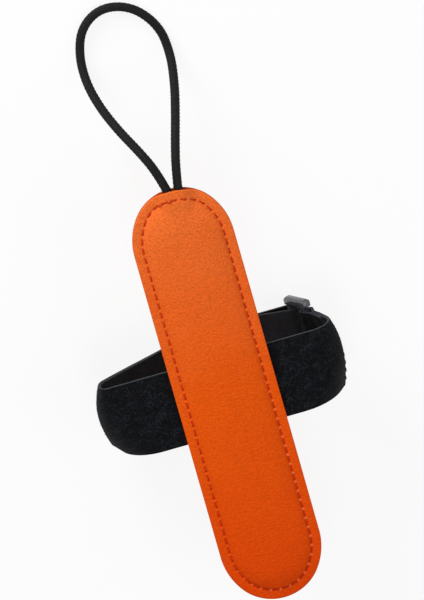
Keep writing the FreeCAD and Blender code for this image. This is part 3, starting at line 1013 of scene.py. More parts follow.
@dataclass(frozen=True)
class StripOutline:
    """The strip's outline: straight sides and ends of three arcs each."""

    length: float = 224.0 * MM
    width: float = 51.0 * MM
    end_length: float = 29.6 * MM
    side_radius: float = 34.0 * MM
    seam_inset: float = 4.9 * MM

    @property
    def side_x(self) -> float:
        """How far a side arc's centre lies past the middle."""
        return self.side_radius - self.width / 2

    @property
    def tip_radius(self) -> float:
        """Radius of the arc at the strip's tip."""
        reach = self.side_radius - self.end_length
        return (self.side_radius ** 2 - self.end_length ** 2 - self.side_x ** 2) / (2 * reach)

    @property
    def tip_y(self) -> float:
        """How far the tip arc's centre lies past the end of the straight sides."""
        return self.end_length - self.tip_radius

    @property
    def turn(self) -> float:
        """Angle that each side arc covers."""
        return math.atan2(self.tip_y, self.side_x)

    @property
    def straight(self) -> float:
        """Half the length of the straight sides."""
        return self.length / 2 - self.end_length

    @property
    def side_seam(self) -> float:
        """Length of the seam along a side arc."""
        return (self.side_radius - self.seam_inset) * self.turn

    @property
    def quarter(self) -> float:
        """Length of the seam from a straight side to the tip."""
        return self.side_seam + (self.tip_radius - self.seam_inset) * (math.pi / 2 - self.turn)

    @property
    def seam(self) -> float:
        """Length of the whole seam."""
        return 4 * self.quarter + 4 * self.straight

    def corner(self, along: float, inset: float) -> tuple[Vector, Vector]:
        """A point of a rounded end in its first quarter, and the way out from it.

        Args:
            along: Length of seam from the straight side.
            inset: How far inside the outline the point lies.

        Returns:
            The point and the unit vector that points out of the strip.
        """
        if along <= self.side_seam:
            radius, centre = self.side_radius, Vector((-self.side_x, self.straight, 0))
            angle = along / (radius - self.seam_inset)
        else:
            radius, centre = self.tip_radius, Vector((0, self.straight + self.tip_y, 0))
            angle = self.turn + (along - self.side_seam) / (radius - self.seam_inset)
        out = Vector((math.cos(angle), math.sin(angle), 0))
        return centre + out * (radius - inset), out

    def point(self, along: float, inset: float) -> tuple[Vector, Vector]:
        """A point of the outline and the way out, the seam's second half being its first turned.

        Args:
            along: Length along the seam, from the right-hand side of the cord end.
            inset: How far inside the outline the point lies.

        Returns:
            The point and the unit vector that points out of the strip.
        """
        second, rest = divmod(along % self.seam, self.seam / 2)
        way = -1 if second else 1
        if rest < 2 * self.quarter:
            mirrored = rest > self.quarter
            spot, out = self.corner(2 * self.quarter - rest if mirrored else rest, inset)
            flip = Vector((-way if mirrored else way, way, 1))
        else:
            y = self.straight - (rest - 2 * self.quarter)
            spot, out = Vector((self.width / 2 - inset, y, 0)), X_AXIS
            flip = Vector((-way, way, 1))
        return spot * flip, out * flip

    def locate(self, x: float, y: float) -> tuple[float, float]:
        """How far inside the outline a point lies, and how far along the seam.

        Args:
            x: Its place across the strip.
            y: Its place along the strip.

        Returns:
            The depth inside and the length along.
        """
        across, past, half = abs(x), abs(y) - self.straight, self.seam / 2
        if past <= 0:
            side = 2 * self.quarter + self.straight
            return self.width / 2 - across, side - y if x < 0 else half + side + y
        angle = math.atan2(past, across + self.side_x)
        if angle <= self.turn:
            inset = self.side_radius - math.hypot(across + self.side_x, past)
            along = (self.side_radius - self.seam_inset) * angle
        else:
            angle = math.atan2(past - self.tip_y, across)
            inset = self.tip_radius - math.hypot(across, past - self.tip_y)
            along = self.side_seam + (self.tip_radius - self.seam_inset) * (angle - self.turn)
        if y > 0:
            return inset, along if x >= 0 else 2 * self.quarter - along
        return inset, half + (along if x < 0 else 2 * self.quarter - along)


@dataclass
class LeatherStrip:
    """The padded strip: two leather sheets, the foam and board between them, and its seam."""

    finishes: Finishes
    outline: StripOutline = field(default_factory=StripOutline)
    sheet: float = 1.2 * MM           # thickness of one
    # how far inside the outline the rings of points lie, in millimetres
    rim_rings: tuple[float, ...] = (0.1, 0.3, 0.7, 1.4, 2.3, 3.2, 3.8, 4.1, 4.35, 4.55, 4.72,
                                    4.9, 5.08, 5.25, 5.45, 5.7)
    face_rings: tuple[float, ...] = (6.0, 6.4, 6.9, 7.4, 8.2, 9.2, 10.4, 11.8, 13.4, 15.2,
                                     17.2, 19.4, 21.6)
    worn: float = 0.45 * MM           # width of the worn corner of a sheet
    worn_drop: float = 0.32 * MM
    rim_swell: float = 0.10 * MM
    inner_corner: float = 0.35 * MM   # of a sheet's corner next to the other sheet
    inner_lift: float = 0.14 * MM
    inner_painted_shade: float = 0.25         # how dark the painted shade is on the side next to the other sheet
    edge_angle: float = 0.3           # a face that looks up less than this is cut edge
    pad_rise: float = 3.4 * MM        # of the padded face over the rim
    pad_inset: float = 5.5 * MM
    pad_reach: float = 19.0 * MM      # from the foot of the padded face to its crown
    pad_fullness: float = 2.3
    pad_steepness: float = 1.65
    wave: float = 0.16 * MM           # of the padded face, as it gives over the foam
    wave_across: float = 16.0 * MM
    wave_along: float = 24.0 * MM
    mark: float = 0.14 * MM           # rise of a short ridge near the cord end
    mark_x: float = -2.5 * MM
    mark_y: tuple[float, ...] = (72 * MM, 80 * MM, 84 * MM, 94 * MM)    # its ends fade between
    mark_width: float = 1.6 * MM
    soft: float = 0.5 * MM            # how softly the ridge over the cord meets the pad
    groove: float = 0.42 * MM         # where a stitch pulls the leather down
    groove_between: float = 0.3       # share of it between two stitches
    groove_width: float = 1.5 * MM
    groove_end: float = 1.8           # where it has died away, in half widths
    stitch_hold: tuple[float, float] = (-0.2 * MM, 0.7 * MM)    # past its end, full and faded
    pucker: float = 0.22 * MM         # extra depth at each needle hole
    hole: float = 0.5 * MM
    stitch_highlight: float = 0.42 * MM         # reach of the painted highlight between two stitches
    highlight_y: tuple[float, float] = (-70 * MM, 60 * MM)    # the painted highlight grows stronger towards the foot, between these
    stitches: int = 95
    stitch_length: float = 2.8 * MM
    stitch_width: float = 0.74 * MM
    points_per_stitch: int = 12
    hump_half_width: float = 12.0 * MM
    hump_rise: float = 3.25 * MM
    hump_from_y: float = 80.0 * MM
    hump_full_y: float = 104.0 * MM
    hump_x: float = 1.75 * MM
    tack_reach: float = 9.2 * MM      # of the doubled stitches to each side of the cord's ends
    tack_apart: float = 0.25 * MM     # of the second pass of thread over the cord's ends
    foam_points: int = 240
    foam_rings: tuple[float, ...] = (0.3, 0.6, 1.2, 2.0, 3.0, 3.5, 3.5)    # widths, in mm
    foam_gap: float = 0.35 * MM       # under the leather that it fills

    @cached_property
    def join(self) -> float:
        """Height where the two sheets meet."""
        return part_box("front_panel")[0].z

    @property
    def pitch(self) -> float:
        """Length of seam from one stitch to the next."""
        return self.outline.seam / self.stitches

    def hump(self, x: float, y: float) -> float:
        """Share of the ridge over the cord's ends, from 0 to 1."""
        across = abs(x - self.hump_x) / self.hump_half_width
        if across >= 1:
            return 0.0
        return ease(0.0, 0.75, 1 - across) * ease(self.hump_from_y, self.hump_full_y, y)

    def across_groove(self, inset: float) -> float:
        """How far a place lies from the seam's line, in half widths of its groove."""
        return (inset - self.outline.seam_inset) / (self.groove_width / 2)

    def seam_press(self, inset: float, along: float) -> float:
        """Depth of the seam's groove, deeper at every needle hole.

        Args:
            inset: How far inside the outline the place lies.
            along: How far along the seam it lies.

        Returns:
            The depth.
        """
        across = self.across_groove(inset)
        if abs(across) >= self.groove_end:
            return 0.0
        phase = (along / self.pitch + 0.5) % 1.0 - 0.5
        past = abs(phase) * self.pitch - self.stitch_length / 2
        under = 1 - (1 - self.groove_between) * ease(*self.stitch_hold, past)
        hole = self.pucker * math.exp(-(past / self.hole) ** 2)
        return math.exp(-1.6 * across * across) * (self.groove * under + hole)

    def seam_highlight(self, inset: float, along: float) -> float:
        """Share of the painted highlight on the leather that swells between two stitches.

        Args:
            inset: How far inside the outline the place lies.
            along: How far along the seam it lies.

        Returns:
            The share, from 0 to 1.
        """
        across = self.across_groove(inset)
        if abs(across) >= self.groove_end:
            return 0.0
        near = (along / self.pitch % 1.0 - 0.5) * self.pitch / self.stitch_highlight
        spot, out = self.outline.point(along, inset)
        # painted highlight, stronger towards the foot and where the seam faces right and down,
        # where the light catches the swells
        low = 1 - ease(*self.highlight_y, spot.y)
        worn = 0.08 + 0.5 * low * ease(-0.3, 0.9, 0.7 * out.x - 0.7 * out.y)
        return worn * math.exp(-1.2 * across * across - near * near)

    @staticmethod
    def near_rim(inset: float, width: float) -> float:
        """Share of a corner that is eased over a width, 1 at the outline itself."""
        return 1 - min(1.0, inset / width)

    def rim_level(self, inset: float) -> float:
        """Height of the rim over a sheet's far side, with its worn corner."""
        swell = math.sin(math.pi * min(1.0, inset / self.outline.seam_inset))
        drop = self.worn_drop * self.near_rim(inset, self.worn) ** 2
        return self.sheet - drop + self.rim_swell * swell

    def pad_level(self, inset: float, x: float, y: float) -> float:
        """Height of the padded face over the rim.

        Args:
            inset: How far inside the outline the place lies.
            x: Its place across the strip.
            y: Its place along the strip.

        Returns:
            The height.
        """
        share = min(1.0, max(0.0, (inset - self.pad_inset) / self.pad_reach))
        dome = (1 - (1 - share) ** self.pad_fullness) ** (1 / self.pad_steepness)
        wave = self.wave * noise.noise(Vector((x / self.wave_across, y / self.wave_along, 0.3)))
        mark = self.mark * math.exp(-((x - self.mark_x) / self.mark_width) ** 2)
        mark *= ease(*self.mark_y[:2], y) * (1 - ease(*self.mark_y[2:], y))
        return self.pad_rise * dome + (wave + mark) * ease(0.0, 0.5, share)

    def front_height(self, x: float, y: float) -> float:
        """Height of the front sheet's face at a place, in the strip's frame.

        Args:
            x: Its place across the strip.
            y: Its place along the strip.

        Returns:
            The height.
        """
        inset, along = self.outline.locate(x, y)
        hump = self.hump(x, y)
        heights = (self.rim_level(inset) + self.pad_level(inset, x, y),
                   self.sheet + self.hump_rise * hump)
        swell = sum(math.exp(height / self.soft) for height in heights)
        level = self.soft * math.log(swell - math.exp(self.sheet / self.soft))
        level -= self.worn_drop * self.near_rim(inset, self.worn) ** 2 * hump
        return self.join + level - self.seam_press(inset, along)

    def build(self) -> None:
        """Make every piece of the strip."""
        self.make_front()
        self.make_back()
        self.make_filling()
        self.make_seams()

    def disc(self, name: str, count: int, inset: float) -> Bench:
        """A flat face whose edge lies inside the strip's outline, at z = 0.

        Args:
            name: Name of the new piece.
            count: Points along its edge.
            inset: How far inside the outline its edge lies.

        Returns:
            The bench that holds it.
        """
        bench = Bench.start_disc(name, count, 1.0)
        for i, vertex in enumerate(bench.obj.data.vertices):
            vertex.co = self.outline.point(self.outline.seam * i / count, inset)[0]
        bench.obj.data.update()
        return bench

    def plate(self, name: str, sheet: Sheet) -> Bench:
        """A closed plate of the strip's outline, with rings of points on its outer face.

        Args:
            name: Name of the new piece.
            sheet: Which sheet it is, and so which face gets the rings.

        Returns:
            The bench that holds it, one sheet thick, with its flat face at z = 0.
        """
        face = self.face_rings if sheet is Sheet.FRONT else self.face_rings[1::2]
        insets = (0.0, *self.rim_rings, *face)
        bench = self.disc(name, self.stitches * self.points_per_stitch, 0.0)
        with bench.editing():
            bpy.ops.mesh.normals_make_consistent(inside=False)
            bench.pull(0, 0, sheet.value * self.sheet)
            bench.ring([(b - a) * MM for a, b in zip(insets, insets[1:])])
        return bench.outwards()

    def make_front(self) -> None:
        """The front sheet, crowned over the foam and hollow under it."""
        bench = self.plate("front_leather", Sheet.FRONT)
        rim, hollow = 0.4 * MM, self.pad_inset + self.sheet
        with bench.editing():
            bench.pick("faces", lambda f: f.normal.z < -0.9)
            bench.ring((rim, hollow - rim, 0.6 * MM, 1.6 * MM, 4.0 * MM))

        def shape(p: Vector) -> Vector:
            """Crown the outer face and hollow the inner one."""
            if p.z > self.sheet / 2:
                return Vector((p.x, p.y, self.front_height(p.x, p.y)))
            inset, _ = self.outline.locate(p.x, p.y)
            lift = self.inner_lift * self.near_rim(inset, self.inner_corner)
            lift += self.hump_rise * self.hump(p.x, p.y) * 1.04
            if inset > hollow + 0.2 * MM:
                lift = max(lift, self.pad_level(inset, p.x, p.y) - 0.08 * MM)
            return Vector((p.x, p.y, self.join + 0.015 * MM + lift))

        bench.mould(shape)
        self.finish_sheet(bench, lambda p: p.z > self.join + 0.5 * MM)
        settle(bench, "strip", "orange_leather", "front_panel")

    def make_back(self) -> None:
        """The back sheet, flat, with its own line of needle holes."""
        bench = self.plate("back_leather", Sheet.BACK)
        low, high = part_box("back_panel")
        scale = (high.z - low.z) / self.sheet

        def shape(p: Vector) -> Vector:
            """Press the seam into the outer face and ease the inner one's corner."""
            inset, along = self.outline.locate(p.x, p.y)
            drop = self.inner_lift * self.near_rim(inset, self.inner_corner)
            if p.z < -self.sheet / 2:
                drop = (self.rim_level(inset) - self.seam_press(inset, along)) * scale
            return Vector((p.x, p.y, high.z - drop))

        bench.mould(shape)
        self.finish_sheet(bench, lambda p: p.z < high.z - 0.5 * MM)
        settle(bench, "strip", "orange_leather", "back_panel")

    def finish_sheet(self, bench: Bench, outer: Callable[[Vector], bool]) -> None:
        """Give a sheet its leather, its raw edge, and its seam's painted shade in the groove and
        painted highlights between the stitches.

        Args:
            bench: The sheet.
            outer: Whether a point is on its outer face.
        """
        bench.outwards().dress(self.finishes.leather, self.finishes.cut_edge)
        for face in bench.obj.data.polygons:
            inset, _ = self.outline.locate(face.center.x, face.center.y)
            edge = inset < 0.04 * MM or abs(face.normal.z) < self.edge_angle
            face.material_index = int(edge)
        deepest = self.groove + self.pucker

        def press(p: Vector) -> float:
            """How dark the painted shade is in the seam's groove and needle holes, and on the inner
            side.
            """
            depth = self.seam_press(*self.outline.locate(p.x, p.y)) / deepest
            return min(1.0, 0.7 * depth ** 2.5) if outer(p) else self.inner_painted_shade

        def stitch_highlight(p: Vector) -> float:
            """How strong the painted highlight is on the swells between stitches."""
            return self.seam_highlight(*self.outline.locate(p.x, p.y)) if outer(p) else 0.0

        bench.measure("press", press).measure("stitch_highlight", stitch_highlight).smooth(50)

    def make_filling(self) -> None:
        """The foam pad, fitted under the front sheet round the board and the cord's ends."""
        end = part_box("foam_pad")[1].y - 4.2 * MM
        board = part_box("stiffener_board")[1].z
        bench = self.disc("foam_filling", self.foam_points, self.pad_inset + self.sheet + 0.4 * MM)
        with bench.editing():
            bench.pull(0, 0, 1.0 * MM)
            bench.ring([width * MM for width in self.foam_rings])

        def shape(p: Vector) -> Vector:
            """Fit the foam between the board and the leather."""
            inset, _ = self.outline.locate(p.x, p.y)
            top = self.join + self.pad_level(inset, p.x, p.y) - self.foam_gap
            under, over = board + 0.05 * MM, max(top, board + 0.3 * MM)
            return Vector((p.x, min(p.y, end), under if p.z < 0.5 * MM else over))

        bench.mould(shape).outwards().dress(self.finishes.foam).smooth(50)
        settle(bench, "strip", "pad_foam", "foam_pad")
        Bench(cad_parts["stiffener_board"]).dress(self.finishes.board)

    def make_seams(self) -> None:
        """The seam's stitches on both faces, and the doubled ones over the cord's ends."""
        front, back, tack = [], [], []
        inset = self.outline.seam_inset
        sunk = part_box("back_panel")[0].z + self.groove * 0.45
        for i in range(self.stitches):
            spot, out = self.outline.point(i * self.pitch, inset)
            heading = Vector((-out.y, out.x, 0))
            back.append(stitch_place(Vector((spot.x, spot.y, sunk)), heading, -Z_AXIS))
            if spot.y < 0 or abs(spot.x - self.hump_x) > self.tack_reach:
                front.append(self.front_place(i * self.pitch, inset))
                continue
            tack.append(self.front_place(i * self.pitch, inset))
            if spot.x < self.hump_x:
                tack.append(self.front_place((i + 0.5) * self.pitch, inset + self.tack_apart))
        for name, places, node in (("front_seam_stitches", front, "front_seam_thread"),
                                   ("back_seam_stitches", back, "back_seam_thread"),
                                   ("cord_tack_stitches", tack, "cord_tack_thread")):
            pattern = Stitch(self.stitch_length, self.stitch_width).build()
            bench = copies(name, pattern, places).dress(self.finishes.orange_thread)
            settle(bench, "strip", "orange_thread", node)

    def front_place(self, along: float, inset: float) -> Matrix:
        """Where a stitch lies on the front sheet, following its slope along the seam.

        Args:
            along: How far along the seam it lies.
            inset: How far inside the outline the place lies.

        Returns:
            The stitch's placement.
        """
        spot, out = self.outline.point(along, inset)
        heading = Vector((-out.y, out.x, 0))
        reach = self.stitch_length * 0.4
        behind, here, ahead = (self.front_height(spot.x + heading.x * far, spot.y + heading.y * far)
                               for far in (-reach, 0.0, reach))
        sloped = (heading + Z_AXIS * (ahead - behind) / (2 * reach)).normalized()
        return stitch_place(Vector((spot.x, spot.y, here)), sloped, Z_AXIS)


# ---------------------------------------------------------------- stitches


def stitch_place(spot: Vector, heading: Vector, up: Vector) -> Matrix:
    """The placement that lays a stitch along a heading, on the side that faces up.

    Args:
        spot: Where its foot lies.
        heading: The way it runs.
        up: The way out of the material.

    Returns:
        The placement.
    """
    across = up.cross(heading).normalized()
    normal = heading.cross(across)
    turned = Matrix((heading, across, normal)).transposed().to_4x4()
    return Matrix.Translation(spot) @ turned


def stitch_row(start: Vector, end: Vector, up: Vector, pitch: float = 4.0 * MM) -> list[Matrix]:
    """Places of stitches along a straight line.

    Args:
        start: Where the line starts.
        end: Where it ends.
        up: The way out of the material.
        pitch: About how far apart the stitches are.

    Returns:
        The placements.
    """
    count = max(1, round((end - start).length / pitch))
    heading = (end - start).normalized()
    return [stitch_place(start.lerp(end, (i + 0.5) / count), heading, up) for i in range(count)]


def stitch_box(corners: Sequence[Vector], up: Vector) -> list[Matrix]:
    """Places of stitches round a closed line of corners."""
    sides = zip(corners, [*corners[1:], corners[0]])
    return [place for start, end in sides for place in stitch_row(start, end, up)]


def box_corners(low: Vector, high: Vector, inset: float, z: float) -> list[Vector]:
    """Corners of a rectangle inside a box, at a height, in order round it."""
    left, right, front, rear = low.x + inset, high.x - inset, low.y + inset, high.y - inset
    return [Vector((x, y, z)) for x, y in ((left, front), (right, front),
                                           (right, rear), (left, rear))]


@dataclass(frozen=True)
class Stitch:
    """One stitch of two-ply thread, arched, with both ends drawn into the material."""

    length: float
    width: float
    sides: int = 10
    steps: int = 12
    twist: float = 26.0           # degrees from one step to the next
    lobes: float = 0.16

    def build(self) -> Bench:
        """Model the stitch along X, with its foot at z = 0.

        Returns:
            The bench that holds it.
        """
        radius = self.width / 2
        bench = Bench.start_disc("stitch", self.sides, radius, rotation=(0, math.pi / 2, 0))
        bench.mould(lambda p: p * (1 + self.lobes * math.cos(2 * math.atan2(p.y, p.z))))
        with bench.editing():
            for _ in range(self.steps):
                bench.pull(self.length / self.steps, 0, 0)
                bpy.ops.transform.rotate(value=math.radians(self.twist), orient_axis="X",
                                         center_override=(0, 0, 0))

        def arch(p: Vector) -> Vector:
            """Arch the thread and draw in its ends."""
            share = 2 * p.x / self.length - 1
            slim = math.sqrt(max(0.06, 1 - abs(share) ** 3.2))
            rise = radius * (0.42 - 1.15 * share ** 4)
            return Vector((p.x - self.length / 2, p.y * slim, p.z * slim * 0.86 + rise))

        return bench.mould(arch).outwards().smooth(70)


# ---------------------------------------------------------------- strap


@dataclass(frozen=True)
class Bend:
    """A corner of the tape's path in X and Z, with the radius that rounds it."""

    place: Vector
    radius: float = 0.0


@dataclass
class Path:
    """A path of straight runs and round bends, with steps that the tape's points follow."""

    bends: list[Bend]
    arc_steps: int = 12
    run_step: float = 1.6 * MM
    touching: float = 0.02 * MM       # two arcs closer than this have no run between them

    def reach(self, i: int) -> float:
        """How far a bend's arc reaches along the runs on both of its sides."""
        if not 0 < i < len(self.bends) - 1:
            return 0.0
        a, b, c = (bend.place for bend in self.bends[i - 1:i + 2])
        return self.bends[i].radius * math.tan((b - a).angle(c - b) / 2)

    def runs(self) -> list[int]:
        """Steps in each straight run between the arcs, none where two arcs touch.

        Returns:
            The number of steps in each run.
        """
        counts = []
        for i in range(1, len(self.bends)):
            gap = (self.bends[i].place - self.bends[i - 1].place).length
            left = gap - self.reach(i - 1) - self.reach(i)
            counts.append(0 if left < self.touching else max(1, round(left / self.run_step)))
        return counts

    def trace(self, runs: Sequence[int]) -> list[Vector]:
        """Points along the path, with as many steps in each run as are given.

        Args:
            runs: Steps in each straight run.

        Returns:
            The points, in X and Z.
        """
        corners = [bend.place for bend in self.bends]
        points = [corners[0]]
        for i, steps in enumerate(runs, 1):
            before = (corners[i] - corners[i - 1]).normalized()
            here, start = points[-1], corners[i] - before * self.reach(i)
            points += [here.lerp(start, k / steps) for k in range(1, steps + 1)]
            if i == len(runs):
                break
            turn = before.angle_signed(corners[i + 1] - corners[i], 0.0)
            side = Vector((before.y, -before.x)) * math.copysign(1.0, turn)
            centre = start + side * self.bends[i].radius
            points += [centre + Matrix.Rotation(-turn * k / self.arc_steps, 2) @ (start - centre)
                       for k in range(1, self.arc_steps + 1)]
        return points


@dataclass(frozen=True)
class Across:
    """A measure at the tape's edge away from the cord, in its middle and at its other edge."""

    away: float
    middle: float
    near: float
    unit: float = MM

    def at(self, share: float) -> float:
        """The measure at a share from -1 to 1, on a parabola through the three."""
        slope, swell = (self.near - self.away) / 2, (self.near + self.away) / 2 - self.middle
        return (self.middle + slope * share + swell * share ** 2) * self.unit


def bearing(angle: float) -> Vector:
    """A unit step in X and Z, at an angle in degrees up from X."""
    return Vector((math.cos(math.radians(angle)), math.sin(math.radians(angle))))


def meet(p: Vector, d: Vector, q: Vector, e: Vector) -> Vector:
    """Where the line through p along d meets the line through q along e, in X and Z."""
    cross = d.x * e.y - d.y * e.x
    return p + d * (((q.x - p.x) * e.y - (q.y - p.y) * e.x) / cross)


def climb(p: Vector, d: Vector, z: float) -> Vector:
    """Where the line through p along d comes to a height."""
    return p + d * ((z - p.y) / d.y)


@dataclass
class TapeRoute:
    """The tape's way round the ring, which leans and twists between its two edges."""

    near_z: float = 49.0 * MM         # of the run next to the strip
    far_z: float = 3.6 * MM           # of the run that lies on the loose end
    tail_z: float = 0.8 * MM
    peel_x: float = 33.0 * MM
    hem_bar: Vector = field(default_factory=lambda: Vector((49.224, 15.401)) * MM)
    hem_radius: float = 3.05 * MM
    hem_apart: float = 0.85 * MM      # from the hem's middle to each of its layers
    hem_meet: float = 6.7 * MM        # from the bar to where the layers meet
    hem_ease: float = 3.5 * MM        # radius there
    hem_end_z: float = 33.5 * MM
    hem_inside: int = 6               # bends of the hem's inner layer and round the bar
    lower_bar: Vector = field(default_factory=lambda: Vector((42.6, 4.8)) * MM)
    fold_radius: float = 4.0 * MM
    fold_rise: float = 20.0           # degrees
    fold_ease: float = 14.0 * MM
    wrap_bends: int = 3
    stand: Across = Across(112.0, 90.0, 71.5, unit=1.0)    # degrees, of the right-hand run
    right_x: Across = Across(53.2, 60.8, 58.1)             # of that run, at its own height
    right_z: float = 37.0 * MM
    hem_z: Across = Across(23.5, 26.0, 27.0)               # where the run turns into the hem
    hem_turn: Across = Across(7.0, 10.0, 12.0)             # radii of the corners, from here on
    right_turn: Across = Across(23.0, 14.5, 9.3)
    left_turn: Across = Across(22.0, 12.0, 4.5)
    low_turn: Across = Across(6.0, 9.0, 6.5)
    far_turn: Across = Across(8.0, 18.0, 20.0)
    left_x: Across = Across(-52.3, -63.9, -60.4)           # places of the left-hand corners
    low_x: Across = Across(-62.8, -64.1, -59.6)
    low_drop: Across = Across(37.0, 22.0, 10.2)            # of the lower one, under near_z
    far_x: Across = Across(-44.0, -20.0, -12.0)

    def bends(self, share: float) -> list[Bend]:
        """The tape's corners at a place across its width.

        Args:
            share: From -1 at the edge away from the cord to 1 at the edge next to it.

        Returns:
            Corners from the hem's inner end round to where the loose end starts.
        """
        stand = self.stand.at(share)
        right, upright = Vector((self.right_x.at(share), self.right_z)), bearing(stand)
        hem = climb(right, upright, self.hem_z.at(share)) - self.hem_bar
        lean = math.degrees(math.atan2(hem.y, hem.x) + math.asin(self.hem_apart / hem.length))
        along, apart = bearing(lean), bearing(lean + 90) * self.hem_apart
        foot = self.hem_bar + along * self.hem_meet
        inner_right = right + bearing(stand + 90) * 2 * self.hem_apart
        inner_turn = meet(foot + apart, along, inner_right, upright)
        outer_turn = meet(foot - apart, along, right, upright)
        leave = math.acos(self.hem_radius / math.hypot(self.hem_meet, self.hem_apart))
        side = math.degrees(math.atan2(self.hem_apart, self.hem_meet) + leave)
        fold = self.lower_bar + bearing(90 + self.fold_rise) * self.fold_radius
        hem_turn = self.hem_turn.at(share)
        return [
            Bend(climb(inner_turn, upright, self.hem_end_z)),
            Bend(inner_turn, hem_turn - 2 * self.hem_apart),
            Bend(foot + apart, self.hem_ease),
            *self.wrap(self.hem_bar, self.hem_radius, lean + side, lean + 360 - side),
            Bend(foot - apart, self.hem_ease),
            Bend(outer_turn, hem_turn),
            Bend(climb(right, upright, self.near_z), self.right_turn.at(share)),
            Bend(Vector((self.left_x.at(share), self.near_z)), self.left_turn.at(share)),
            Bend(Vector((self.low_x.at(share), self.near_z - self.low_drop.at(share))),
                 self.low_turn.at(share)),
            Bend(Vector((self.far_x.at(share), self.far_z)), self.far_turn.at(share)),
            Bend(climb(fold, bearing(self.fold_rise), self.far_z), self.fold_ease),
            *self.wrap(self.lower_bar, self.fold_radius, 90 + self.fold_rise, -90),
            Bend(Vector((self.peel_x, self.tail_z))),
        ]

    def wrap(self, centre: Vector, radius: float, first: float, last: float) -> list[Bend]:
        """Corners of a path round a bar, from one angle to another in degrees.

        Args:
            centre: The bar's middle.
            radius: Radius of the path round it.
            first: Angle where it meets the bar.
            last: Angle where it leaves the bar.

        Returns:
            The corners.
        """
        step = (last - first) / self.wrap_bends
        reach = radius / math.cos(math.radians(step / 2))
        return [Bend(centre + bearing(first + step * (i + 0.5)) * reach, radius)
                for i in range(self.wrap_bends)]

    def columns(self, count: int) -> list[list[Vector]]:
        """Paths of as many points each, evenly spread from one edge of the tape to the other."""
        runs = Path(self.bends(0.0)).runs()
        return [Path(self.bends(2 * j / count - 1)).trace(runs) for j in range(count + 1)]

    def hem_crossing(self, share: float, height: float) -> tuple[Vector, Vector]:
        """Where the hem's outer layer crosses a height, and its way upwards there.

        Args:
            share: Place across the tape, from -1 to 1.
            height: The height.

        Returns:
            The place and the way.
        """
        path = Path(self.bends(share)[self.hem_inside:])
        line = path.trace(path.runs())
        a, b = next((a, b) for a, b in zip(line, line[1:]) if a.y <= height < b.y)
        return a.lerp(b, (height - a.y) / (b.y - a.y)), b - a


